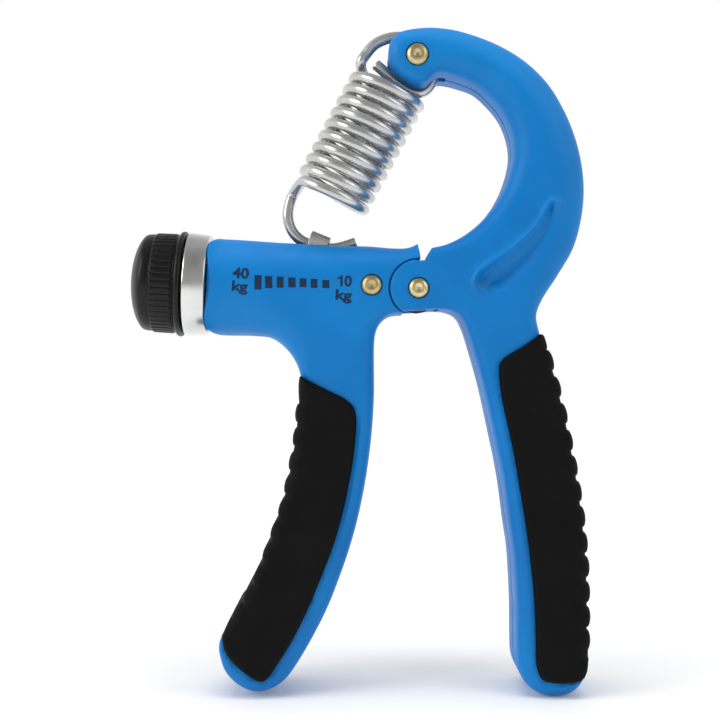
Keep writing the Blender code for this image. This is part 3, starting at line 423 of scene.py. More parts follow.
def plate(name, L, top, mat, y_in=0.02, groove=0.5, spacing=1.1, fine=(), angle=40.0, extra=None):
    """A closed half shell on the near side.  L: outline with the width and depth of its edge rounding.
    top(P, drop) gives the outer surface's distance from the mid-plane."""
    N = normals_in(L)
    pts = [L[:, :2]]
    for k in RINGS:
        Q = L[:, :2] + N * (L[:, 2:3] * k)
        d, _ = seg_field(Q, L)
        keep = (d > 0.93 * L[:, 2] * k) & inside(Q, L)
        pts.append(Q[keep])
    base = np.concatenate(pts)
    # thin out points that crowd together where rings meet
    kd = kdtree.KDTree(len(base))
    for i, q in enumerate(base):
        kd.insert((q[0], q[1], 0), i)
    kd.balance()
    nb = len(L)
    alive = np.ones(len(base), bool)
    for i in range(nb, len(base)):
        for _, j, dd in kd.find_range((base[i][0], base[i][1], 0), 0.16):
            if j != i and alive[j] and j < i:
                alive[i] = False
                break
    base = base[alive]
    kd = kdtree.KDTree(len(base))
    for i, q in enumerate(base):
        kd.insert((q[0], q[1], 0), i)
    kd.balance()
    lo, hi = L[:, :2].min(0), L[:, :2].max(0)

    def grid(lo, hi, s):
        xs = np.arange(lo[0], hi[0], s)
        zs = np.arange(lo[1], hi[1], s * 0.866)
        G = np.array([(x + (0.5 * s if r % 2 else 0.0), z) for r, z in enumerate(zs) for x in xs])
        return G

    cand = []
    for poly, s in fine:
        G = grid(poly[:, :2].min(0) - 2, poly[:, :2].max(0) + 2, s)
        sd = signed(G, poly)
        cand.append((G[sd > -1.6], s))
    cand.append((grid(lo, hi, spacing), spacing))
    if extra is not None:
        cand.insert(0, (extra, 0.3))
    for G, s in cand:
        G = G[inside(G, L)]
        ok = [g for g in G if kd.find((g[0], g[1], 0))[2] > 0.62 * s]
        if len(ok):
            base = np.concatenate([base, np.array(ok)])
            kd = kdtree.KDTree(len(base))
            for i, q in enumerate(base):
                kd.insert((q[0], q[1], 0), i)
            kd.balance()
    edges = [(i, (i + 1) % nb) for i in range(nb)]
    v2, _, f2, _, _, _ = geometry.delaunay_2d_cdt([Vector((float(q[0]), float(q[1]))) for q in base], edges, [], 0, 1e-5)
    V = np.array([(q.x, q.y) for q in v2])
    F = [f for f in f2 if len(f) == 3]
    C = np.array([V[list(f)].mean(0) for f in F])
    F = [f for f, k in zip(F, inside(C, L)) if k]
    _, drop = seg_field(V, L)
    h = np.maximum(top(V, drop), y_in + groove + 0.1)
    verts = [(float(q[0]), -float(y), float(q[1])) for q, y in zip(V, h)]
    # the loop's own vertices, found again in the triangulation's output
    kd = kdtree.KDTree(len(V))
    for i, q in enumerate(V):
        kd.insert((q[0], q[1], 0), i)
    kd.balance()
    rim = [kd.find((q[0], q[1], 0))[1] for q in L]
    faces = [tuple(f) for f in F]
    b = len(verts)
    n = len(rim)
    inner = L[:, :2] + N * groove
    for q in L:
        verts.append((float(q[0]), -(y_in + groove), float(q[1])))
    for q in inner:
        verts.append((float(q[0]), -y_in, float(q[1])))
    for i in range(n):
        j = (i + 1) % n
        faces.append((rim[i], rim[j], b + j, b + i))
        faces.append((b + i, b + j, b + n + j, b + n + i))
    cv, _, cf, _, _, _ = geometry.delaunay_2d_cdt([Vector((float(q[0]), float(q[1]))) for q in inner], edges, [], 1, 1e-5)
    kd = kdtree.KDTree(n)
    for i, q in enumerate(inner):
        kd.insert((q[0], q[1], 0), i)
    kd.balance()
    back = [kd.find((q.x, q.y, 0))[1] for q in cv]
    for f in cf:
        g = [back[i] for i in f]
        if len(set(g)) == len(g):
            faces.append(tuple(b + n + i for i in reversed(g)))
    return new_object(name, verts, faces, mat, angle)


def turned(name, profile, origin, direction, mat, steps=64, angle=35.0):
    """Solid of revolution about an axis from origin (mm) along direction; profile (along, radius)."""
    d = Vector(direction).normalized()
    a = Vector((0, 1, 0)) if abs(d.y) < 0.9 else Vector((0, 0, 1))
    e1 = (a - d * a.dot(d)).normalized()
    e2 = d.cross(e1)
    verts, faces, rows = [], [], []
    for s, r in profile:
        c = Vector(origin) + d * s
        if r < 1e-6:
            rows.append([len(verts)])
            verts.append(tuple(c))
        else:
            rows.append(list(range(len(verts), len(verts) + steps)))
            for k in range(steps):
                t = 2 * math.pi * k / steps
                verts.append(tuple(c + (e1 * math.cos(t) + e2 * math.sin(t)) * r))
    for a_, b_ in zip(rows, rows[1:]):
        for k in range(steps):
            q = [a_[k % len(a_)], a_[(k + 1) % len(a_)], b_[(k + 1) % len(b_)], b_[k % len(b_)]]
            q = list(dict.fromkeys(q))
            if len(q) > 2:
                faces.append(tuple(q))
    if profile[0][1] > 1e-6 and profile[-1][1] > 1e-6:
        a_, b_ = rows[-1], rows[0]
        for k in range(steps):
            faces.append((a_[k], a_[(k + 1) % steps], b_[(k + 1) % steps], b_[k]))
    return new_object(name, verts, faces, mat, angle)


def tube(name, path, radius, mat, sides=18, ends=True):
    """Round wire with parallel-transported frames; ends slightly chamfered."""
    P = [Vector(p) for p in path]
    if ends is True:
        ends = (True, True)
    verts, faces, rows = [], [], []
    t0 = (P[1] - P[0]).normalized()
    e = t0.orthogonal().normalized()
    for i, p in enumerate(P):
        t = (P[min(i + 1, len(P) - 1)] - P[max(i - 1, 0)]).normalized()
        e = (e - t * e.dot(t)).normalized()
        f = t.cross(e)
        rad = [(p, radius)]
        if i == 0 and ends[0]:
            rad = [(p, radius * 0.86), (p + t * 0.16, radius)]
        if i == len(P) - 1 and ends[1]:
            rad = [(p - t * 0.16, radius), (p, radius * 0.86)]
        for c, r in rad:
            rows.append(list(range(len(verts), len(verts) + sides)))
            for k in range(sides):
                a = 2 * math.pi * k / sides
                verts.append(tuple(c + (e * math.cos(a) + f * math.sin(a)) * r))
    for a_, b_ in zip(rows, rows[1:]):
        for k in range(sides):
            faces.append((a_[k], a_[(k + 1) % sides], b_[(k + 1) % sides], b_[k]))
    if ends[0]:
        faces.append(tuple(reversed(rows[0])))
    if ends[1]:
        faces.append(tuple(rows[-1]))
    return new_object(name, verts, faces, mat, 50)


# ------------------------------------------------------------------ rear body
R_OUT, R_IN = (8.5, 6.5), (6.3, 5.2)
HANDLE = (3.4, 3.2)
rear_runs = [
    # V edge beside the barrel, then the inside of the bow, up to the head's underside
    ([(15.9, 100.2, 0.6, 0.5), (16.4, 101.6, 0.7, 0.6), (17.2, 103.1, 0.9, 0.8)], None),
    ([(17.2, 103.1, 2.0, 1.6), (20.9, 104.1, 3.0, 2.6), (25.2, 106.4, 4.0, 3.6), (29.3, 109.9, 4.4, 4.0),
      (32.8, 114.5, 4.6, 4.2), (35.2, 119.8, 5.0, 4.4), (36.4, 125.3, 5.4, 4.6), (35.8, 130.3, 6.0, 4.8),
      (33.7, 135.1, 6.4, 5.0), (30.0, 139.4, 6.6, 5.0), (27.3, 141.5, 6.2, 4.8), (24.4, 142.7, 5.4, 4.2), (21.6, 143.6, 4.6, 3.6),
      (19.6, 143.9, 4.0, 3.2), (18.1, 143.5, 3.0, 2.6), (17.0, 142.5, 2.4, 2.2), (16.1, 141.6, 2.2, 2.0), (14.8, 141.2, 2.2, 2.0),
      (12.7, 141.6, 2.4, 2.2), (10.9, 142.5, 2.6, 2.4), (9.4, 143.8, 2.8, 2.6), (8.2, 145.3, 3.0, 2.8), (7.35, 147.0, 3.2, 3.0),
      (7.2, 149.0, 3.4, 3.2), (7.6, 151.0, 3.6, 3.4), (8.6, 152.5, 3.8, 3.6), (10.2, 153.6, 4.0, 3.8), (13.8, 154.4, 4.6, 4.2), (18.4, 154.7, 5.4, 4.8), (24.6, 153.9, 6.6, 5.6),
      (32.5, 151.2, 7.6, 6.2), (39.2, 147.3, 8.2, 6.4), (44.75, 141.9, 8.4, 6.4), (48.7, 135.35, 8.4, 6.2),
      (51.3, 128.6, 8.2, 6.0), (52.7, 122.05, 8.0, 5.8), (53.0, 115.55, 7.6, 5.6), (52.1, 109.0, 7.0, 5.2),
      (50.2, 102.9, 6.4, 4.8), (46.6, 96.8, 5.6, 4.4), (43.2, 91.6, 4.6, 4.0), (41.6, 87.8, 3.6, 3.4),
      (41.9, 84.6, 2.6, 2.6), (43.0, 81.0, 2.2, 2.2), (44.4, 76.6, 2.2, 2.2), (46.0, 70.4, 2.2, 2.2),
      (47.5, 64.2, 2.2, 2.2), (48.8, 58.0, 2.2, 2.2), (49.9, 52.0, 2.2, 2.2), (50.8, 46.0, 2.2, 2.2),
      (51.5, 40.0, 2.2, 2.2), (52.0, 34.0, 2.2, 2.2), (52.3, 28.0, 2.2, 2.2), (52.4, 22.0, 2.2, 2.2),
      (52.5, 15.4, 2.2, 2.2), (53.0, 11.0, 2.6, 2.6), (53.6, 8.0, 3.0, 3.0), (53.2, 5.2, 3.2, 3.2),
      (51.9, 2.2, 3.2, 3.2), (49.6, 0.1, 3.2, 3.2), (46.6, -0.6, 3.2, 3.2), (43.3, -0.4, 3.2, 3.2),
      (40.3, 1.0, 3.2, 3.2), (38.2, 3.4, 3.2, 3.2), (37.1, 6.8, 3.0, 3.2), (36.9, 12.7, 2.8, 3.2),
      (36.8, 20.0, 2.6, 3.2), (36.2, 30.9, 2.6, 3.2), (35.2, 38.2, 2.6, 3.2), (33.7, 49.2, 2.6, 3.2),
      (31.5, 60.2, 2.6, 3.2), (29.1, 71.1, 2.6, 3.2), (27.1, 78.4, 2.6, 3.2), (25.3, 84.2, 2.4, 3.0),
      (23.7, 87.3, 2.0, 2.4), (21.4, 88.6, 1.6, 1.8), (18.4, 89.0, 1.0, 1.0), (14.6, 88.75, 0.6, 0.5),
      (10.4, 88.5, 0.6, 0.5)], None),
    ([(x, z, 0.5, 0.4) for x, z in arc(PIVOT, 6.6, 232, 100, 22)], None),
    ([(x, z, 0.5, 0.4) for x, z in [arc(PIVOT, 6.6, 100, 99, 2)[0], (14.6, 100.15), (15.9, 100.2)]], None),
]
rear_L = loop(rear_runs, 0.75)
THUMB = closed([(44.9, 113.2), (42.4, 108.9), (39.5, 105.6), (36.1, 102.7), (32.6, 100.2), (29.8, 98.4),
                (27.7, 96.5), (27.5, 94.2), (29.0, 92.3), (31.6, 91.8), (34.8, 92.8), (38.2, 95.6), (41.6, 99.4),
                (44.0, 103.6), (45.2, 108.4)], 0.6)
REAR_PAD_EDGE = [(42.2, 83.15), (41.2, 82.4), (38.4, 80.5), (33.8, 77.6), (32.6, 75.0), (33.3, 68.0), (34.8, 61.1),
                 (36.25, 54.2), (37.4, 47.3), (38.55, 40.4), (39.5, 33.5), (40.3, 26.6), (40.8, 19.7),
                 (41.0, 12.8), (41.2, 7.0), (42.4, 3.8), (45.0, 2.9), (48.8, 2.8), (51.5, 3.4), (52.8, 5.4),
                 (53.2, 9.0)]
REAR_RIDGES = [(45.2, 77.4), (46.9, 71.3), (48.4, 65.1), (49.7, 58.9), (50.8, 53.0), (51.8, 47.1),
               (52.6, 41.2), (53.2, 35.2), (53.6, 29.6), (53.75, 23.7), (53.8, 18.0), (53.75, 12.6)]
FRONT_PAD_EDGE = [(-13.3, 73.4), (-11.6, 72.6), (-7.2, 70.4), (-2.4, 67.9), (-0.5, 65.2), (-0.3, 61.1),
                  (-1.0, 54.2), (-2.2, 47.3), (-3.8, 40.4), (-5.9, 33.5), (-8.6, 26.6), (-11.5, 19.7),
                  (-14.9, 12.8), (-18.9, 6.4), (-20.8, 3.8), (-22.6, 3.2), (-25.2, 4.6), (-28.5, 7.4),
                  (-30.6, 10.4), (-31.2, 13.8)]
FRONT_RIDGES = [(-14.35, 65.1), (-14.9, 59.6), (-15.8, 54.0), (-16.8, 48.7), (-18.1, 43.4), (-19.8, 38.4),
                (-21.6, 33.4), (-23.7, 28.1), (-25.9, 23.8), (-28.3, 19.7)]


def ridges(crests, side, height, half, top, bottom):
    """The outer edge of a grip: half-round bars standing on an even line.  side: +1 bars to the right."""
    out = list(top)
    n = len(crests)
    for i, c in enumerate(crests):
        c = Vector(c)
        a, b = Vector(crests[max(i - 1, 0)]), Vector(crests[min(i + 1, n - 1)])
        d = (b - a).normalized()
        out_n = Vector((-d.y, d.x)) * (-1 if (-d.y) * side < 0 else 1)
        if i:
            a = Vector(crests[i - 1])
            out.append(tuple((a + c) / 2 - out_n * height))
        for t in (-1.0, -0.94, -0.82, -0.62, -0.4, -0.2, 0.0, 0.2, 0.4, 0.62, 0.82, 0.94, 1.0):
            k = max(0.0, 1 - t * t) ** 0.5 if abs(t) < 1 else 0.0
            out.append(tuple(c + d * (half * t) - out_n * (height * (1 - k))))
    return out + list(bottom)


rear_pad_runs = [
    ([(*p, 1.1, 1.1) for p in REAR_PAD_EDGE], None),
    ([(*p, 2.6, 2.2) for p in reversed(ridges(REAR_RIDGES, 1, 0.85, 2.45, [(42.2, 83.15), (42.9, 83.0), (43.35, 82.1), (43.8, 80.4)], [(53.2, 10.4), (53.2, 9.0)]))], None),
]
front_pad_runs = [
    ([(*p, 1.1, 1.1) for p in FRONT_PAD_EDGE], None),
    ([(*p, 2.6, 2.2) for p in reversed(ridges(FRONT_RIDGES, -1, 0.66, 2.15, [(-13.3, 73.4), (-13.55, 72.2), (-13.6, 70.0)], [(-29.6, 17.2), (-31.2, 13.8)]))], None),
]
rear_pad_L = loop(rear_pad_runs, 0.45)
front_pad_L = loop(front_pad_runs, 0.45)


def pad_groove(P, L, h):
    """A shallow moat in the plastic round a rubber grip."""
    s = signed(P, L)
    return h - 0.5 * smooth(-0.45, -0.1, s)


def rear_top(P, drop):
    h = H_SHELL - drop
    s = signed(P, THUMB)
    # how far along the rest, 0 at its wide lower end to 1 at its tip
    along = np.clip((P[:, 1] - 93.0) / 19.0, 0, 1)
    depth = 3.0 * (1 - 0.45 * along)
    # steep on the upper left, gentle on the lower right
    side = (P[:, 0] - 28.0) * 0.70 - (P[:, 1] - 94.6) * 0.71
    steep = smooth(1.6, -1.6, side)
    h = h - depth * smooth(0.0, 0.9 + 4.8 * (1 - steep), s)
    lip = np.exp(-((s + 0.6) / 0.6) ** 2) * smooth(3.2, -1.0, side) * smooth(0.0, 0.12, along + 0.06)
    h = h + 1.0 * lip
    return pad_groove(P, rear_pad_L, h)


rear_near = plate("rear_shell_near_look", rear_L, rear_top, MATS["blue"], fine=[(THUMB, 0.5)])
cut(rear_near, [
    cylinder(6.9, (PIVOT[0], -5.4, PIVOT[1]), (PIVOT[0], 1.0, PIVOT[1]), 96),
    cylinder(8.0, (HEAD[0], -1.9, HEAD[1]), (HEAD[0], 1.0, HEAD[1]), 96),
    cylinder(2.52, (PIVOT[0], -14, PIVOT[1]), (PIVOT[0], -9.5, PIVOT[1]), 64),
    cylinder(2.72, (HEAD[0], -14, HEAD[1]), (HEAD[0], -9.5, HEAD[1]), 64),
])
rear_far = mirrored(rear_near, "rear_shell_far_look")


# ------------------------------------------------------------------ front body
BARREL_ROUND = (10.4, 10.4)
front_runs = [
    # the barrel's end at the collar, top edge, and the notch round the ear
    ([(-35.3, 85.6, 2.6, 1.5), (-35.2, 89.0, 2.6, 1.5), (-34.9, 95.0, 2.6, 1.5), (-34.65, 100.0, 2.6, 1.5), (-34.5, 103.0, 2.6, 1.6),
      (-34.0, 104.6, 4.0, 3.0), (-32.8, 105.7, 8.0, 7.6), (-31.0, 106.05, 10.4, 10.4), (-28.0, 105.9, 10.4, 10.4), (-20.0, 105.3, 10.0, 10.0), (-12.0, 104.8, 9.0, 9.2),
      (-4.0, 104.3, 7.8, 8.2), (3.0, 103.9, 6.6, 7.0), (8.0, 103.4, 5.6, 6.0), (11.4, 103.3, 4.6, 4.6),
      (13.9, 104.0, 3.0, 3.0)], None),
    ([(13.9, 104.0, 0.8, 0.8), (14.3, 102.4, 0.7, 0.7), (14.6, 100.7, 0.6, 0.5)], None),
    ([(x, z, 0.6, 0.5) for x, z in arc(PIVOT, 6.82, 86, 238, 26)], None),
    ([(10.5, 88.0, 1.0, 0.9), (9.2, 87.95, 2.2, 2.2), (7.1, 87.4, 2.8, 2.8), (5.3, 85.8, 3.2, 3.2), (4.2, 83.4, 3.4, 3.4),
      (3.85, 80.0, 3.6, 3.6), (3.85, 75.0, 3.6, 3.6), (3.85, 68.5, 3.6, 3.6), (3.4, 61.0, 3.6, 3.6),
      (2.6, 53.8, 3.6, 3.6), (1.5, 47.0, 3.6, 3.6), (0.0, 40.0, 3.6, 3.6), (-1.9, 33.2, 3.6, 3.6),
      (-4.4, 26.0, 3.6, 3.6), (-7.2, 19.1, 3.6, 3.6), (-10.8, 12.1, 3.6, 3.6), (-14.6, 5.8, 3.6, 3.6),
      (-17.2, 2.6, 3.6, 3.6), (-19.9, 0.9, 3.6, 3.6), (-22.6, 0.2, 3.6, 3.6), (-25.4, 0.6, 3.6, 3.6),
      (-28.2, 2.2, 3.4, 3.4), (-30.6, 4.9, 3.0, 3.0), (-31.8, 8.2, 2.8, 2.8), (-32.1, 11.2, 2.6, 2.6),
      (-31.0, 14.2, 2.4, 2.4), (-28.0, 17.9, 2.2, 2.2), (-25.8, 21.3, 2.2, 2.2), (-23.6, 25.6, 2.2, 2.2),
      (-21.4, 30.1, 2.2, 2.2), (-19.4, 35.0, 2.2, 2.2), (-17.5, 40.1, 2.2, 2.2), (-15.9, 45.3, 2.2, 2.2),
      (-14.7, 50.5, 2.2, 2.2), (-13.9, 55.6, 2.2, 2.2), (-13.2, 60.8, 2.2, 2.2), (-12.8, 66.0, 2.2, 2.2),
      (-12.9, 70.4, 2.4, 2.4), (-13.3, 74.0, 3.0, 3.0), (-14.6, 77.2, 4.0, 4.0), (-17.0, 80.2, 5.5, 5.5),
      (-20.4, 82.4, 7.0, 7.0), (-25.0, 82.95, 9.0, 9.0), (-30.0, 83.0, 10.4, 10.4), (-33.2, 83.25, 10.0, 9.6), (-34.7, 84.2, 5.0, 4.0), (-35.3, 85.6, 2.6, 1.5)], None),
]
front_L = loop(front_runs, 0.75)


def front_top(P, drop):
    H = 10.3 + 0.9 * smooth(-6.0, -26.0, P[:, 0]) * smooth(76.0, 84.0, P[:, 1])
    return pad_groove(P, front_pad_L, H - drop)


front_near = plate("front_shell_near_look", front_L, front_top, MATS["blue"])
cut(front_near, [
    cylinder(2.52, (BARREL_RIVET[0], -14, BARREL_RIVET[1]), (BARREL_RIVET[0], -9.5, BARREL_RIVET[1]), 64),
    cylinder(6.6, on_screw(6.6), on_screw(37.0), 64),
    cylinder(5.1, on_screw(-2.0), on_screw(9.0), 64),
    block((35.0, 6.6, 16.0), on_screw(24.2, 10.5), TILT),
    block((8.0, 3.8, 10.0), on_screw(39.0, 9.6), TILT),
])
front_far = mirrored(front_near, "front_shell_far_look")


def pad_top(P, drop):
    return H_PAD - drop


def pad(name, L):
    o = plate(name, L, pad_top, MATS["rubber"], y_in=0.0, groove=0.0, spacing=1.3, angle=60)
    me = o.data
    bm = bmesh.new()
    bm.from_mesh(me)
    inner = [f for f in bm.faces if all(abs(v.co.y) < 1e-7 for v in f.verts)]
    bmesh.ops.delete(bm, geom=inner, context="FACES")
    geo = bmesh.ops.duplicate(bm, geom=bm.verts[:] + bm.edges[:] + bm.faces[:])
    vs = [g for g in geo["geom"] if isinstance(g, bmesh.types.BMVert)]
    fs = [g for g in geo["geom"] if isinstance(g, bmesh.types.BMFace)]
    for v in vs:
        v.co.y = -v.co.y
    bmesh.ops.reverse_faces(bm, faces=fs)
    bmesh.ops.remove_doubles(bm, verts=bm.verts, dist=2e-7)
    bmesh.ops.recalc_face_normals(bm, faces=bm.faces)
    bm.to_mesh(me)
    bm.free()
    shade(o, 60)
    return o


rear_pad = pad("rear_grip_pad_look", rear_pad_L)
front_pad = pad("front_grip_pad_look", front_pad_L)

# the tongue between the ears
tongue_pts = arc(PIVOT, 6.3, -52, 118, 40) + [(6.2, 99.5), (5.8, 94.5), (6.2, 90.2)]
tl = closed([(x, max(z, PIVOT[1] - 5.0), 0.4, 0.4) for x, z in tongue_pts], 0.5)
tongue_near = plate("front_tongue_near", tl, lambda P, drop: 4.35 - drop, MATS["blue"], spacing=1.6)
tongue_far = mirrored(tongue_near, "front_tongue_far")

# ------------------------------------------------------------------ rivets
def rivet(name, centre, r, lean=0.0):
    under = H_SHELL - 0.8 + 0.3
    top = under + 1.25
    head = [(top - 0.32, 0.0), (top - 0.30, 0.28), (top - 0.16, 0.62), (top - 0.02, 0.95), (top + 0.02, 1.2), (top - 0.05, r * 0.62),
            (top - 0.22, r * 0.76), (top - 0.48, r * 0.88), (top - 0.80, r * 0.965), (top - 1.05, r), (under, r * 0.985)]
    prof = [(-s, q) for s, q in head] + [(-under, 1.5), (under, 1.5)] + [(s, q) for s, q in reversed(head)]
    return turned(name, prof, (centre[0], 0, centre[1]), (0, 1, 0), MATS["brass"], 56, 50)


head_rivet = rivet("head_rivet_look", HEAD, 2.6)
barrel_rivet = rivet("barrel_rivet_look", BARREL_RIVET, 2.4)
pivot_rivet = rivet("pivot_rivet_look", PIVOT, 2.4)

# ------------------------------------------------------------------ collar
collar = turned("barrel_collar_look", [
    (0.0, 10.5), (0.0, 11.75), (0.10, 11.98), (0.30, 12.12), (0.6, 12.2), (2.9, 12.0), (5.05, 11.8), (5.22, 11.7),
    (5.34, 11.5), (5.35, 10.5)], BARREL0, U, MATS["collar"], 120, 35)

# ------------------------------------------------------------------ knob
def knob():
    steps, ribs = 50 * 10, 50
    prof = []   # (s, radius, rib depth)
    for s, r in [(-13.2, 0.0), (-13.18, 1.5), (-13.1, 3.0), (-12.95, 4.4), (-12.7, 5.8), (-12.35, 7.1), (-11.9, 8.3), (-11.35, 9.4),
                 (-10.7, 10.35), (-10.2, 10.9), (-9.8, 11.2), (-9.3, 11.38), (-8.7, 11.45), (-7.9, 11.47), (-7.75, 11.38), (-7.6, 11.38)]:
        prof.append((s if s > -9.8 else -9.8 + (s + 9.8) * 0.9, r, 0.0))
    for s, r, d in [(-7.5, 11.48, 0.0), (-7.4, 11.66, 0.12), (-7.2, 11.76, 0.20), (-5.0, 11.80, 0.22), (-3.0, 11.82, 0.22), (-2.7, 11.78, 0.18),
                    (-2.5, 11.66, 0.08)]:
        prof.append((s, r, d))
    for s, r in [(-2.4, 11.40), (-2.15, 11.40), (-1.95, 11.6), (-1.75, 12.1), (-1.4, 12.4), (-1.0, 12.48), (-0.6, 12.38), (-0.4, 12.1),
                 (-0.35, 11.8), (-0.35, 9.6), (-1.6, 9.6), (-1.6, 4.6), (-9.9, 4.6), (-9.9, 0.0)]:
        prof.append((s, r, 0.0))
    e1, e2 = Vector((0, 1, 0)), U.cross(Vector((0, 1, 0)))
    verts, faces, rows = [], [], []
    for s, r, d in prof:
        c = BARREL0 + U * s
        if r < 1e-6:
            rows.append([len(verts)])
            verts.append(tuple(c))
            continue
        rows.append(list(range(len(verts), len(verts) + steps)))
        for k in range(steps):
            ph = (k / 10.0) % 1.0
            w = min(1.0, max(0.0, (abs(ph - 0.5) - 0.20) / 0.13))   # 1 in the narrow groove
            w = w * w * (3 - 2 * w)
            rr = r - d * w
            a = 2 * math.pi * k / steps
            verts.append(tuple(c + (e1 * math.cos(a) + e2 * math.sin(a)) * rr))
    for a_, b_ in zip(rows, rows[1:]):
        for k in range(steps):
            q = list(dict.fromkeys([a_[k % len(a_)], a_[(k + 1) % len(a_)], b_[(k + 1) % len(b_)], b_[k % len(b_)]]))
            if len(q) > 2:
                faces.append(tuple(q))
    return new_object("knob_cap_look", verts, faces, MATS["black"], 50)


knob_cap = knob()


# ------------------------------------------------------------------ screw, with its thread
def screw():
    lead, seg = 1.25, 24
    verts, faces, rows = [], [], []
    e1, e2 = Vector((0, 1, 0)), U.cross(Vector((0, 1, 0)))
    stations = [(-9.4, 0.0, 0), (-9.4, 2.5, 0), (-9.0, 2.9, 0), (8.6, 2.9, 0), (8.6, 2.1, 0), (9.5, 2.1, 0), (9.5, 2.8, 0)]
    s = 9.9
    while s < 36.2:
        stations.append((s, 2.9, 1))
        s += lead / 10
    stations += [(36.4, 2.8, 0), (36.6, 2.1, 0), (39.9, 2.1, 0), (39.9, 0.0, 0)]
    for s, r, th in stations:
        c = BARREL0 + U * s
        if r < 1e-6:
            rows.append([len(verts)])
            verts.append(tuple(c))
            continue
        rows.append(list(range(len(verts), len(verts) + seg)))
        for k in range(seg):
            a = 2 * math.pi * k / seg
            rr = r
            if th:
                ph = (s / lead - k / seg) % 1.0
                rr = r - 0.55 * abs(2 * ph - 1) ** 1.2
            verts.append(tuple(c + (e1 * math.cos(a) + e2 * math.sin(a)) * rr))
    for a_, b_ in zip(rows, rows[1:]):
        for k in range(seg):
            q = list(dict.fromkeys([a_[k % len(a_)], a_[(k + 1) % len(a_)], b_[(k + 1) % len(b_)], b_[k % len(b_)]]))
            if len(q) > 2:
                faces.append(tuple(q))
    return new_object("adjusting_screw_look", verts, faces, MATS["steel"], 30)


adjusting_screw = screw()

# ------------------------------------------------------------------ stirrup: a bent strip over the hook
ST = math.radians(22.0)
SV = Vector((math.sin(ST), 0, math.cos(ST)))
SU = Vector((math.cos(ST), 0, -math.sin(ST)))
B3 = Vector((HOOK[0], 0, HOOK[1]))


def stirrup():
    """An inverted U of strip: legs at either side of the wire, with rounded bends."""
    mid = []   # centre line of the strip in (y, v)
    t, y, top = 1.2, 2.2, 6.95
    mid += [(-y, -1.9), (-y, 0.0), (-y, 3.0), (-y, 5.4)]
    mid += [(-y + 1.1 - 1.1 * math.cos(a), top - 1.1 + 1.1 * math.sin(a)) for a in [math.radians(d) for d in (0, 15, 30, 45, 60, 75, 90)]]
    mid += [(-q, v) for q, v in reversed(mid)]
    width = lambda v: 2.4 if v > 4.0 else 2.0
    verts, faces = [], []
    n = len(mid)
    rings = []
    for i, (q, v) in enumerate(mid):
        a = mid[max(i - 1, 0)]
        b = mid[min(i + 1, n - 1)]
        d = Vector((b[0] - a[0], b[1] - a[1])).normalized()
        nrm = Vector((-d.y, d.x))
        w = 2.0 if i in (0, n - 1) else width(v)
        if i in (0, n - 1):
            w = 1.2
        ring = []
        ch = 0.16
        for uu, tt in ((-w + ch, -t / 2), (w - ch, -t / 2), (w, -t / 2 + ch), (w, t / 2 - ch), (w - ch, t / 2), (-w + ch, t / 2), (-w, t / 2 - ch), (-w, -t / 2 + ch)):
            p = B3 + SU * uu + SV * (v + nrm.y * tt) + Vector((0, q + nrm.x * tt, 0))
            ring.append(len(verts))
            verts.append(tuple(p))
        rings.append(ring)
    for a_, b_ in zip(rings, rings[1:]):
        for k in range(8):
            faces.append((a_[k], a_[(k + 1) % 8], b_[(k + 1) % 8], b_[k]))
    faces.append(tuple(reversed(rings[0])))
    faces.append(tuple(rings[-1]))
    return new_object("hook_stirrup_look", verts, faces, MATS["sheet"], 30)


hook_stirrup = stirrup()


# ------------------------------------------------------------------ spring
def coil_point(turn):
    a = math.pi + 2 * math.pi * turn
    base = COIL_LOW.lerp(COIL_HIGH, turn / TURNS)
    return base + COIL_SIDE * (COIL_R * math.cos(a)) + Vector((0, COIL_R * math.sin(a), 0))


LOWER = [(-0.35, 105.15), (-2.9, 104.3), (-5.3, 103.75), (-7.6, 103.8), (-9.7, 104.25), (-11.7, 104.85), (-13.6, 105.8),
         (-15.3, 107.5), (-16.3, 109.7), (-16.55, 112.0), (-16.1, 114.6), (-15.1, 116.9)]
UPPER = [(0.8, 147.7), (2.0, 149.9), (3.9, 152.1), (6.3, 153.4), (9.0, 154.0), (12.0, 153.75), (15.2, 152.2),
         (17.4, 149.9), (18.2, 147.2), (18.1, 144.6), (17.2, 142.4), (15.6, 141.0), (13.6, 140.9),
         (10.9, 142.2), (7.7, 144.6), (4.3, 147.6)]


def path3(pts, step):
    P = [Vector(p) for p in pts]
    P = [2 * P[0] - P[1]] + P + [2 * P[-1] - P[-2]]
    out = []
    for i in range(1, len(P) - 2):
        p0, p1, p2, p3 = P[i - 1], P[i], P[i + 1], P[i + 2]
        n = max(1, int(round((p2 - p1).length / step)))
        for k in range(n):
            t = k / n
            out.append(0.5 * (2 * p1 + (p2 - p0) * t + (2 * p0 - 5 * p1 + 4 * p2 - p3) * t * t + (3 * p1 - p0 - 3 * p2 + p3) * t ** 3))
    out.append(P[-2])
    return out


low = path3([(x, 0, z) for x, z in LOWER] + [tuple(coil_point(t)) for t in (0.09, 0.15)], 0.6)[:-1]
high = path3([tuple(coil_point(TURNS - t)) for t in (0.15, 0.09)] + [(x, 0, z) for x, z in UPPER], 0.6)[1:]
PER = 44


def coil_run(a, b):
    n = int(round((b - a) * PER))
    return [coil_point(a + (b - a) * k / n) for k in range(n + 1)]


spring_low = tube("spring_lower_part", low + coil_run(0.15, 2.0), WIRE_R, MATS["chrome"], ends=(True, False))
spring_mid = tube("spring_middle_part", coil_run(2.0, 8.0), WIRE_R, MATS["chrome"], ends=(False, False))
spring_top = tube("spring_upper_part", coil_run(8.0, 9.85) + high, WIRE_R, MATS["chrome"], ends=(False, True))

# ------------------------------------------------------------------ scale printed on the barrel
front_print = []


def surface_y(P):
    """Near surface of the front body at outline points."""
    _, drop = seg_field(P, front_L)
    return front_top(P, drop)


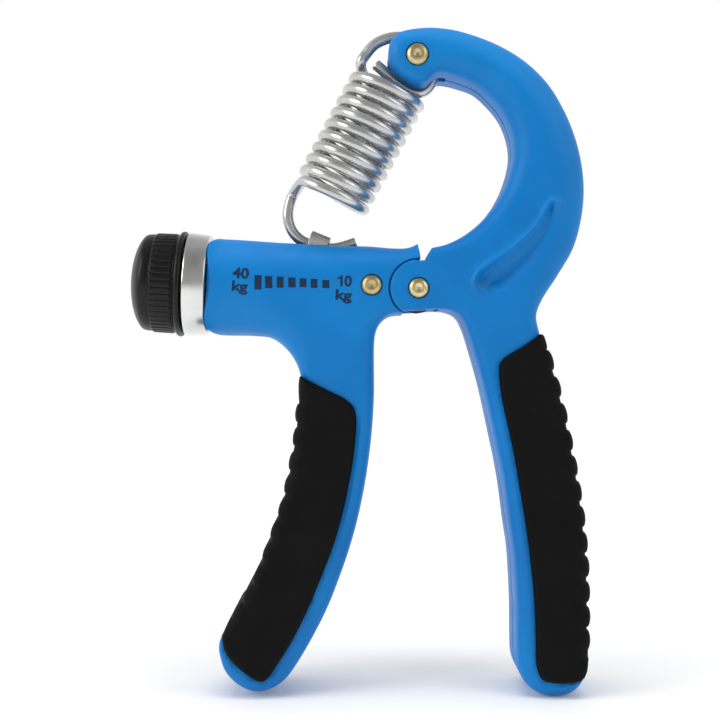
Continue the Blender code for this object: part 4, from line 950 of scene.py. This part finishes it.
def printed(name, polys):
    """Flat ink shapes laid on the near surface."""
    verts, faces = [], []
    for poly in polys:
        poly = np.array(poly, float)
        y = surface_y(poly)
        b = len(verts)
        verts += [(float(p[0]), -float(h) - 0.035, float(p[1])) for p, h in zip(poly, y)]
        faces.append(tuple(range(b, b + len(poly))))
    return new_object(name, verts, faces, MATS["ink"], 60)


def photo_mm(px, py, y=-10.9):
    f = (300.0 + y) / 300.0
    return ((px - 360) * 0.238 * f + 0.6, (360 - py) * 0.238 * f + 77.2)


bars = []
for x0, x1, y0, y1 in [(254.5, 261.6, 275.1, 289.4), (265.2, 272.3, 276.0, 288.0), (276.8, 283.5, 276.4, 287.6),
                       (288.2, 295.5, 277.3, 287.3), (299.6, 306.4, 278.2, 286.9), (310.7, 317.4, 278.7, 287.8),
                       (322.3, 329.3, 279.8, 287.8)]:
    a, b = photo_mm(x0, y1), photo_mm(x1, y0)
    for i in range(4):
        z0, z1 = a[1] + (b[1] - a[1]) * i / 4, a[1] + (b[1] - a[1]) * (i + 1) / 4
        bars.append([(a[0], z0), (b[0], z0 - 0.04), (b[0], z1 - 0.04), (a[0], z1)])
scale_bars = printed("scale_bars", bars)


def lettering(name, text, x0, x1, y0, y1, tilt=4.0):
    """Text laid on the near surface, filling a pixel box of the drawing."""
    cu = bpy.data.curves.new(name, "FONT")
    cu.body = text
    cu.size = 1.0
    cu.offset = 0.032
    cu.fill_mode = "FRONT"
    cu.resolution_u = 6
    o = bpy.data.objects.new(name, cu)
    bpy.context.scene.collection.objects.link(o)
    bpy.context.view_layer.update()
    dg = bpy.context.evaluated_depsgraph_get()
    me = bpy.data.meshes.new_from_object(o.evaluated_get(dg))
    bpy.data.objects.remove(o, do_unlink=True)
    bpy.data.curves.remove(cu)
    bm = bmesh.new()
    bm.from_mesh(me)
    bmesh.ops.triangulate(bm, faces=bm.faces)
    co = np.array([v.co[:2] for v in bm.verts])
    lo, hi = co.min(0), co.max(0)
    a, b = photo_mm(x0, y1), photo_mm(x1, y0)
    size = np.array(b) - np.array(a)
    q = (co - lo) / (hi - lo) * size
    c = q - size / 2
    t = -math.radians(tilt)
    c = np.stack([c[:, 0] * math.cos(t) - c[:, 1] * math.sin(t), c[:, 0] * math.sin(t) + c[:, 1] * math.cos(t)], 1)
    q = c + np.array(a) + size / 2
    y = surface_y(q)
    for v, p, h in zip(bm.verts, q, y):
        v.co = world((p[0], -h - 0.04, p[1]))
    bm.to_mesh(me)
    bm.free()
    return wrap(name, me, MATS["ink"], 60)


# the figure one: a stem with a short flag
ONE = [[(340.2, 286.0), (342.6, 286.1), (342.7, 275.1), (341.0, 275.1)][:4],
       [(341.2, 275.1), (340.3, 277.9), (337.6, 279.6), (337.6, 277.7), (339.5, 276.6)][:5]]
ONE[0] = [(340.3, 286.0), (342.6, 286.1), (342.6, 275.1), (340.9, 275.1), (340.3, 276.4)]
letters = [
    lettering("scale_high_value", "40", 232.6, 249.1, 267.5, 278.7),
    lettering("scale_high_unit", "kg", 231.9, 247.8, 280.9, 294.6),
    lettering("scale_low_value_zero", "0", 344.4, 351.8, 275.3, 286.5),
    printed("scale_low_value_one", [[photo_mm(*q) for q in line] for line in ONE]),
    lettering("scale_low_unit", "kg", 335.5, 351.8, 289.4, 303.2),
]

# ------------------------------------------------------------------ what rides on what
def attach(obj, body, slot, *nodes):
    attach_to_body(obj, body)
    if nodes:
        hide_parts(*nodes)


attach(rear_near, "rear_body", "rear_plastic_near", "rear_shell_near")
attach(rear_far, "rear_body", "rear_plastic_far", "rear_shell_far")
attach(rear_pad, "rear_body", "rear_rubber", "rear_grip_pad")
attach(head_rivet, "rear_body", "rivet_brass", "head_rivet")
attach(front_near, "front_body", "front_plastic_near", "front_shell_near")
attach(front_far, "front_body", "front_plastic_far", "front_shell_far")
attach(tongue_near, "front_body", "front_plastic_near")
attach(tongue_far, "front_body", "front_plastic_far")
attach(front_pad, "front_body", "front_rubber", "front_grip_pad")
attach(barrel_rivet, "front_body", "rivet_brass", "barrel_rivet")
attach(pivot_rivet, "front_body", "rivet_brass", "pivot_rivet")
attach(collar, "front_body", "collar_steel", "barrel_collar")
attach(scale_bars, "front_body", "knob_plastic")
for t in letters:
    attach(t, "front_body", "knob_plastic")
attach(knob_cap, "knob", "knob_plastic", "knob_cap")
attach(adjusting_screw, "knob", "plated_steel", "adjusting_screw")
attach(hook_stirrup, "stirrup", "sheet_steel", "hook_stirrup")


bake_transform(spring_low)
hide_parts("spring_lower_hook")
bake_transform(spring_mid)
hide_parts("spring_lower_coil", "spring_upper_coil")
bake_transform(spring_top)
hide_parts("spring_upper_hook")

CAD_LOOK = {
    "carriage_nut": "turned", "hook_pin": "steel", "knob_insert": "turned", "retaining_clip": "steel",
    "thrust_washer": "steel", "screw_end_bush": "nylon", "screw_front_bush": "turned", "pivot_washer_near": "nylon",
    "pivot_washer_far": "nylon", "head_bush": "turned",
}
for node, look in CAD_LOOK.items():
    o = frame["nodes"][node]
    o.data.materials.clear()
    o.data.materials.append(MATS[look])

# ------------------------------------------------------------------ stage
def stage_material(name, colour, rough):
    m, nt, b = nodes_of(name)
    b.inputs["Base Color"].default_value = (*colour, 1)
    b.inputs["Roughness"].default_value = rough
    b.inputs["Specular IOR Level"].default_value = 0.2
    return m


me = bpy.data.meshes.new("floor")
me.from_pydata([(-6, -6, 0), (6, -6, 0), (6, 6, 0), (-6, 6, 0)], [], [(0, 1, 2, 3)])
glowing_paper = stage_material("floor_paper_painted_glow", (0.88, 0.88, 0.88), 0.7)
nt = glowing_paper.node_tree
back = nt.nodes.new("ShaderNodeSeparateXYZ")
nt.links.new(object_coords(nt), back.inputs[0])
glowing_paper_bsdf = nt.nodes["Principled BSDF"]
# the floor's emission is painted light: the floor glows, faintly beside the object and more strongly towards the back,
# so that it fades into the white backdrop
glowing_paper_bsdf.inputs["Emission Color"].default_value = (1, 1, 1, 1)
nt.links.new(ramp(nt, back.outputs["Y"], -0.05, 0.75, 0.05, 0.52), glowing_paper_bsdf.inputs["Emission Strength"])
me.materials.append(glowing_paper)
floor = bpy.data.objects.new("floor", me)
floor.location = (0, 0, -0.0002)
bpy.context.scene.collection.objects.link(floor)

sc = bpy.context.scene
w = bpy.data.worlds.new("studio")
sc.world = w
w.use_nodes = True
bg = w.node_tree.nodes["Background"]
bg.inputs[0].default_value = (1.0, 1.0, 1.0, 1)
# a white wall behind the object, a dimmer room in front of it
tc = w.node_tree.nodes.new("ShaderNodeTexCoord")
sep = w.node_tree.nodes.new("ShaderNodeSeparateXYZ")
w.node_tree.links.new(tc.outputs["Generated"], sep.inputs[0])
level = w.node_tree.nodes.new("ShaderNodeMath")
level.operation = "MULTIPLY"
w.node_tree.links.new(ramp(w.node_tree, sep.outputs["Y"], -0.75, 0.15, 0.38, 1.0), level.inputs[0])
w.node_tree.links.new(ramp(w.node_tree, sep.outputs["Z"], 0.32, 0.9, 1.0, 0.45), level.inputs[1])
w.node_tree.links.new(level.outputs[0], bg.inputs[1])
sc.view_settings.view_transform = "Standard"


def area(name, loc, aim, size, size_y, power, colour=(1, 1, 1)):
    L = bpy.data.lights.new(name, "AREA")
    L.shape = "RECTANGLE"
    L.size, L.size_y = size, size_y
    L.energy = power
    L.color = colour
    o = bpy.data.objects.new(name, L)
    o.location = loc
    o.rotation_mode = "QUATERNION"
    o.rotation_quaternion = (Vector(aim) - Vector(loc)).to_track_quat("-Z", "Y")
    sc.collection.objects.link(o)
    return o


area("key_right", (0.55, -0.35, 0.45), (0.0, 0, 0.09), 0.35, 0.5, 0.8)
area("fill_left", (-0.60, -0.30, 0.40), (0.0, 0, 0.08), 0.35, 0.5, 2.0)
area("top", (0.0, -0.10, 0.75), (0.0, 0, 0.09), 0.6, 0.4, 3.4).visible_glossy = False

cam = bpy.data.cameras.new("camera")
cam.sensor_width = 36.0
cam.lens = 36.0 * 300.0 / (720 * 0.238)
cam.clip_start = 0.01
co = bpy.data.objects.new("camera", cam)
co.location = ((0.6 + DX) * MM, -0.300, (77.2 + DZ) * MM)
co.rotation_euler = (math.radians(90), 0, 0)
sc.collection.objects.link(co)
sc.camera = co
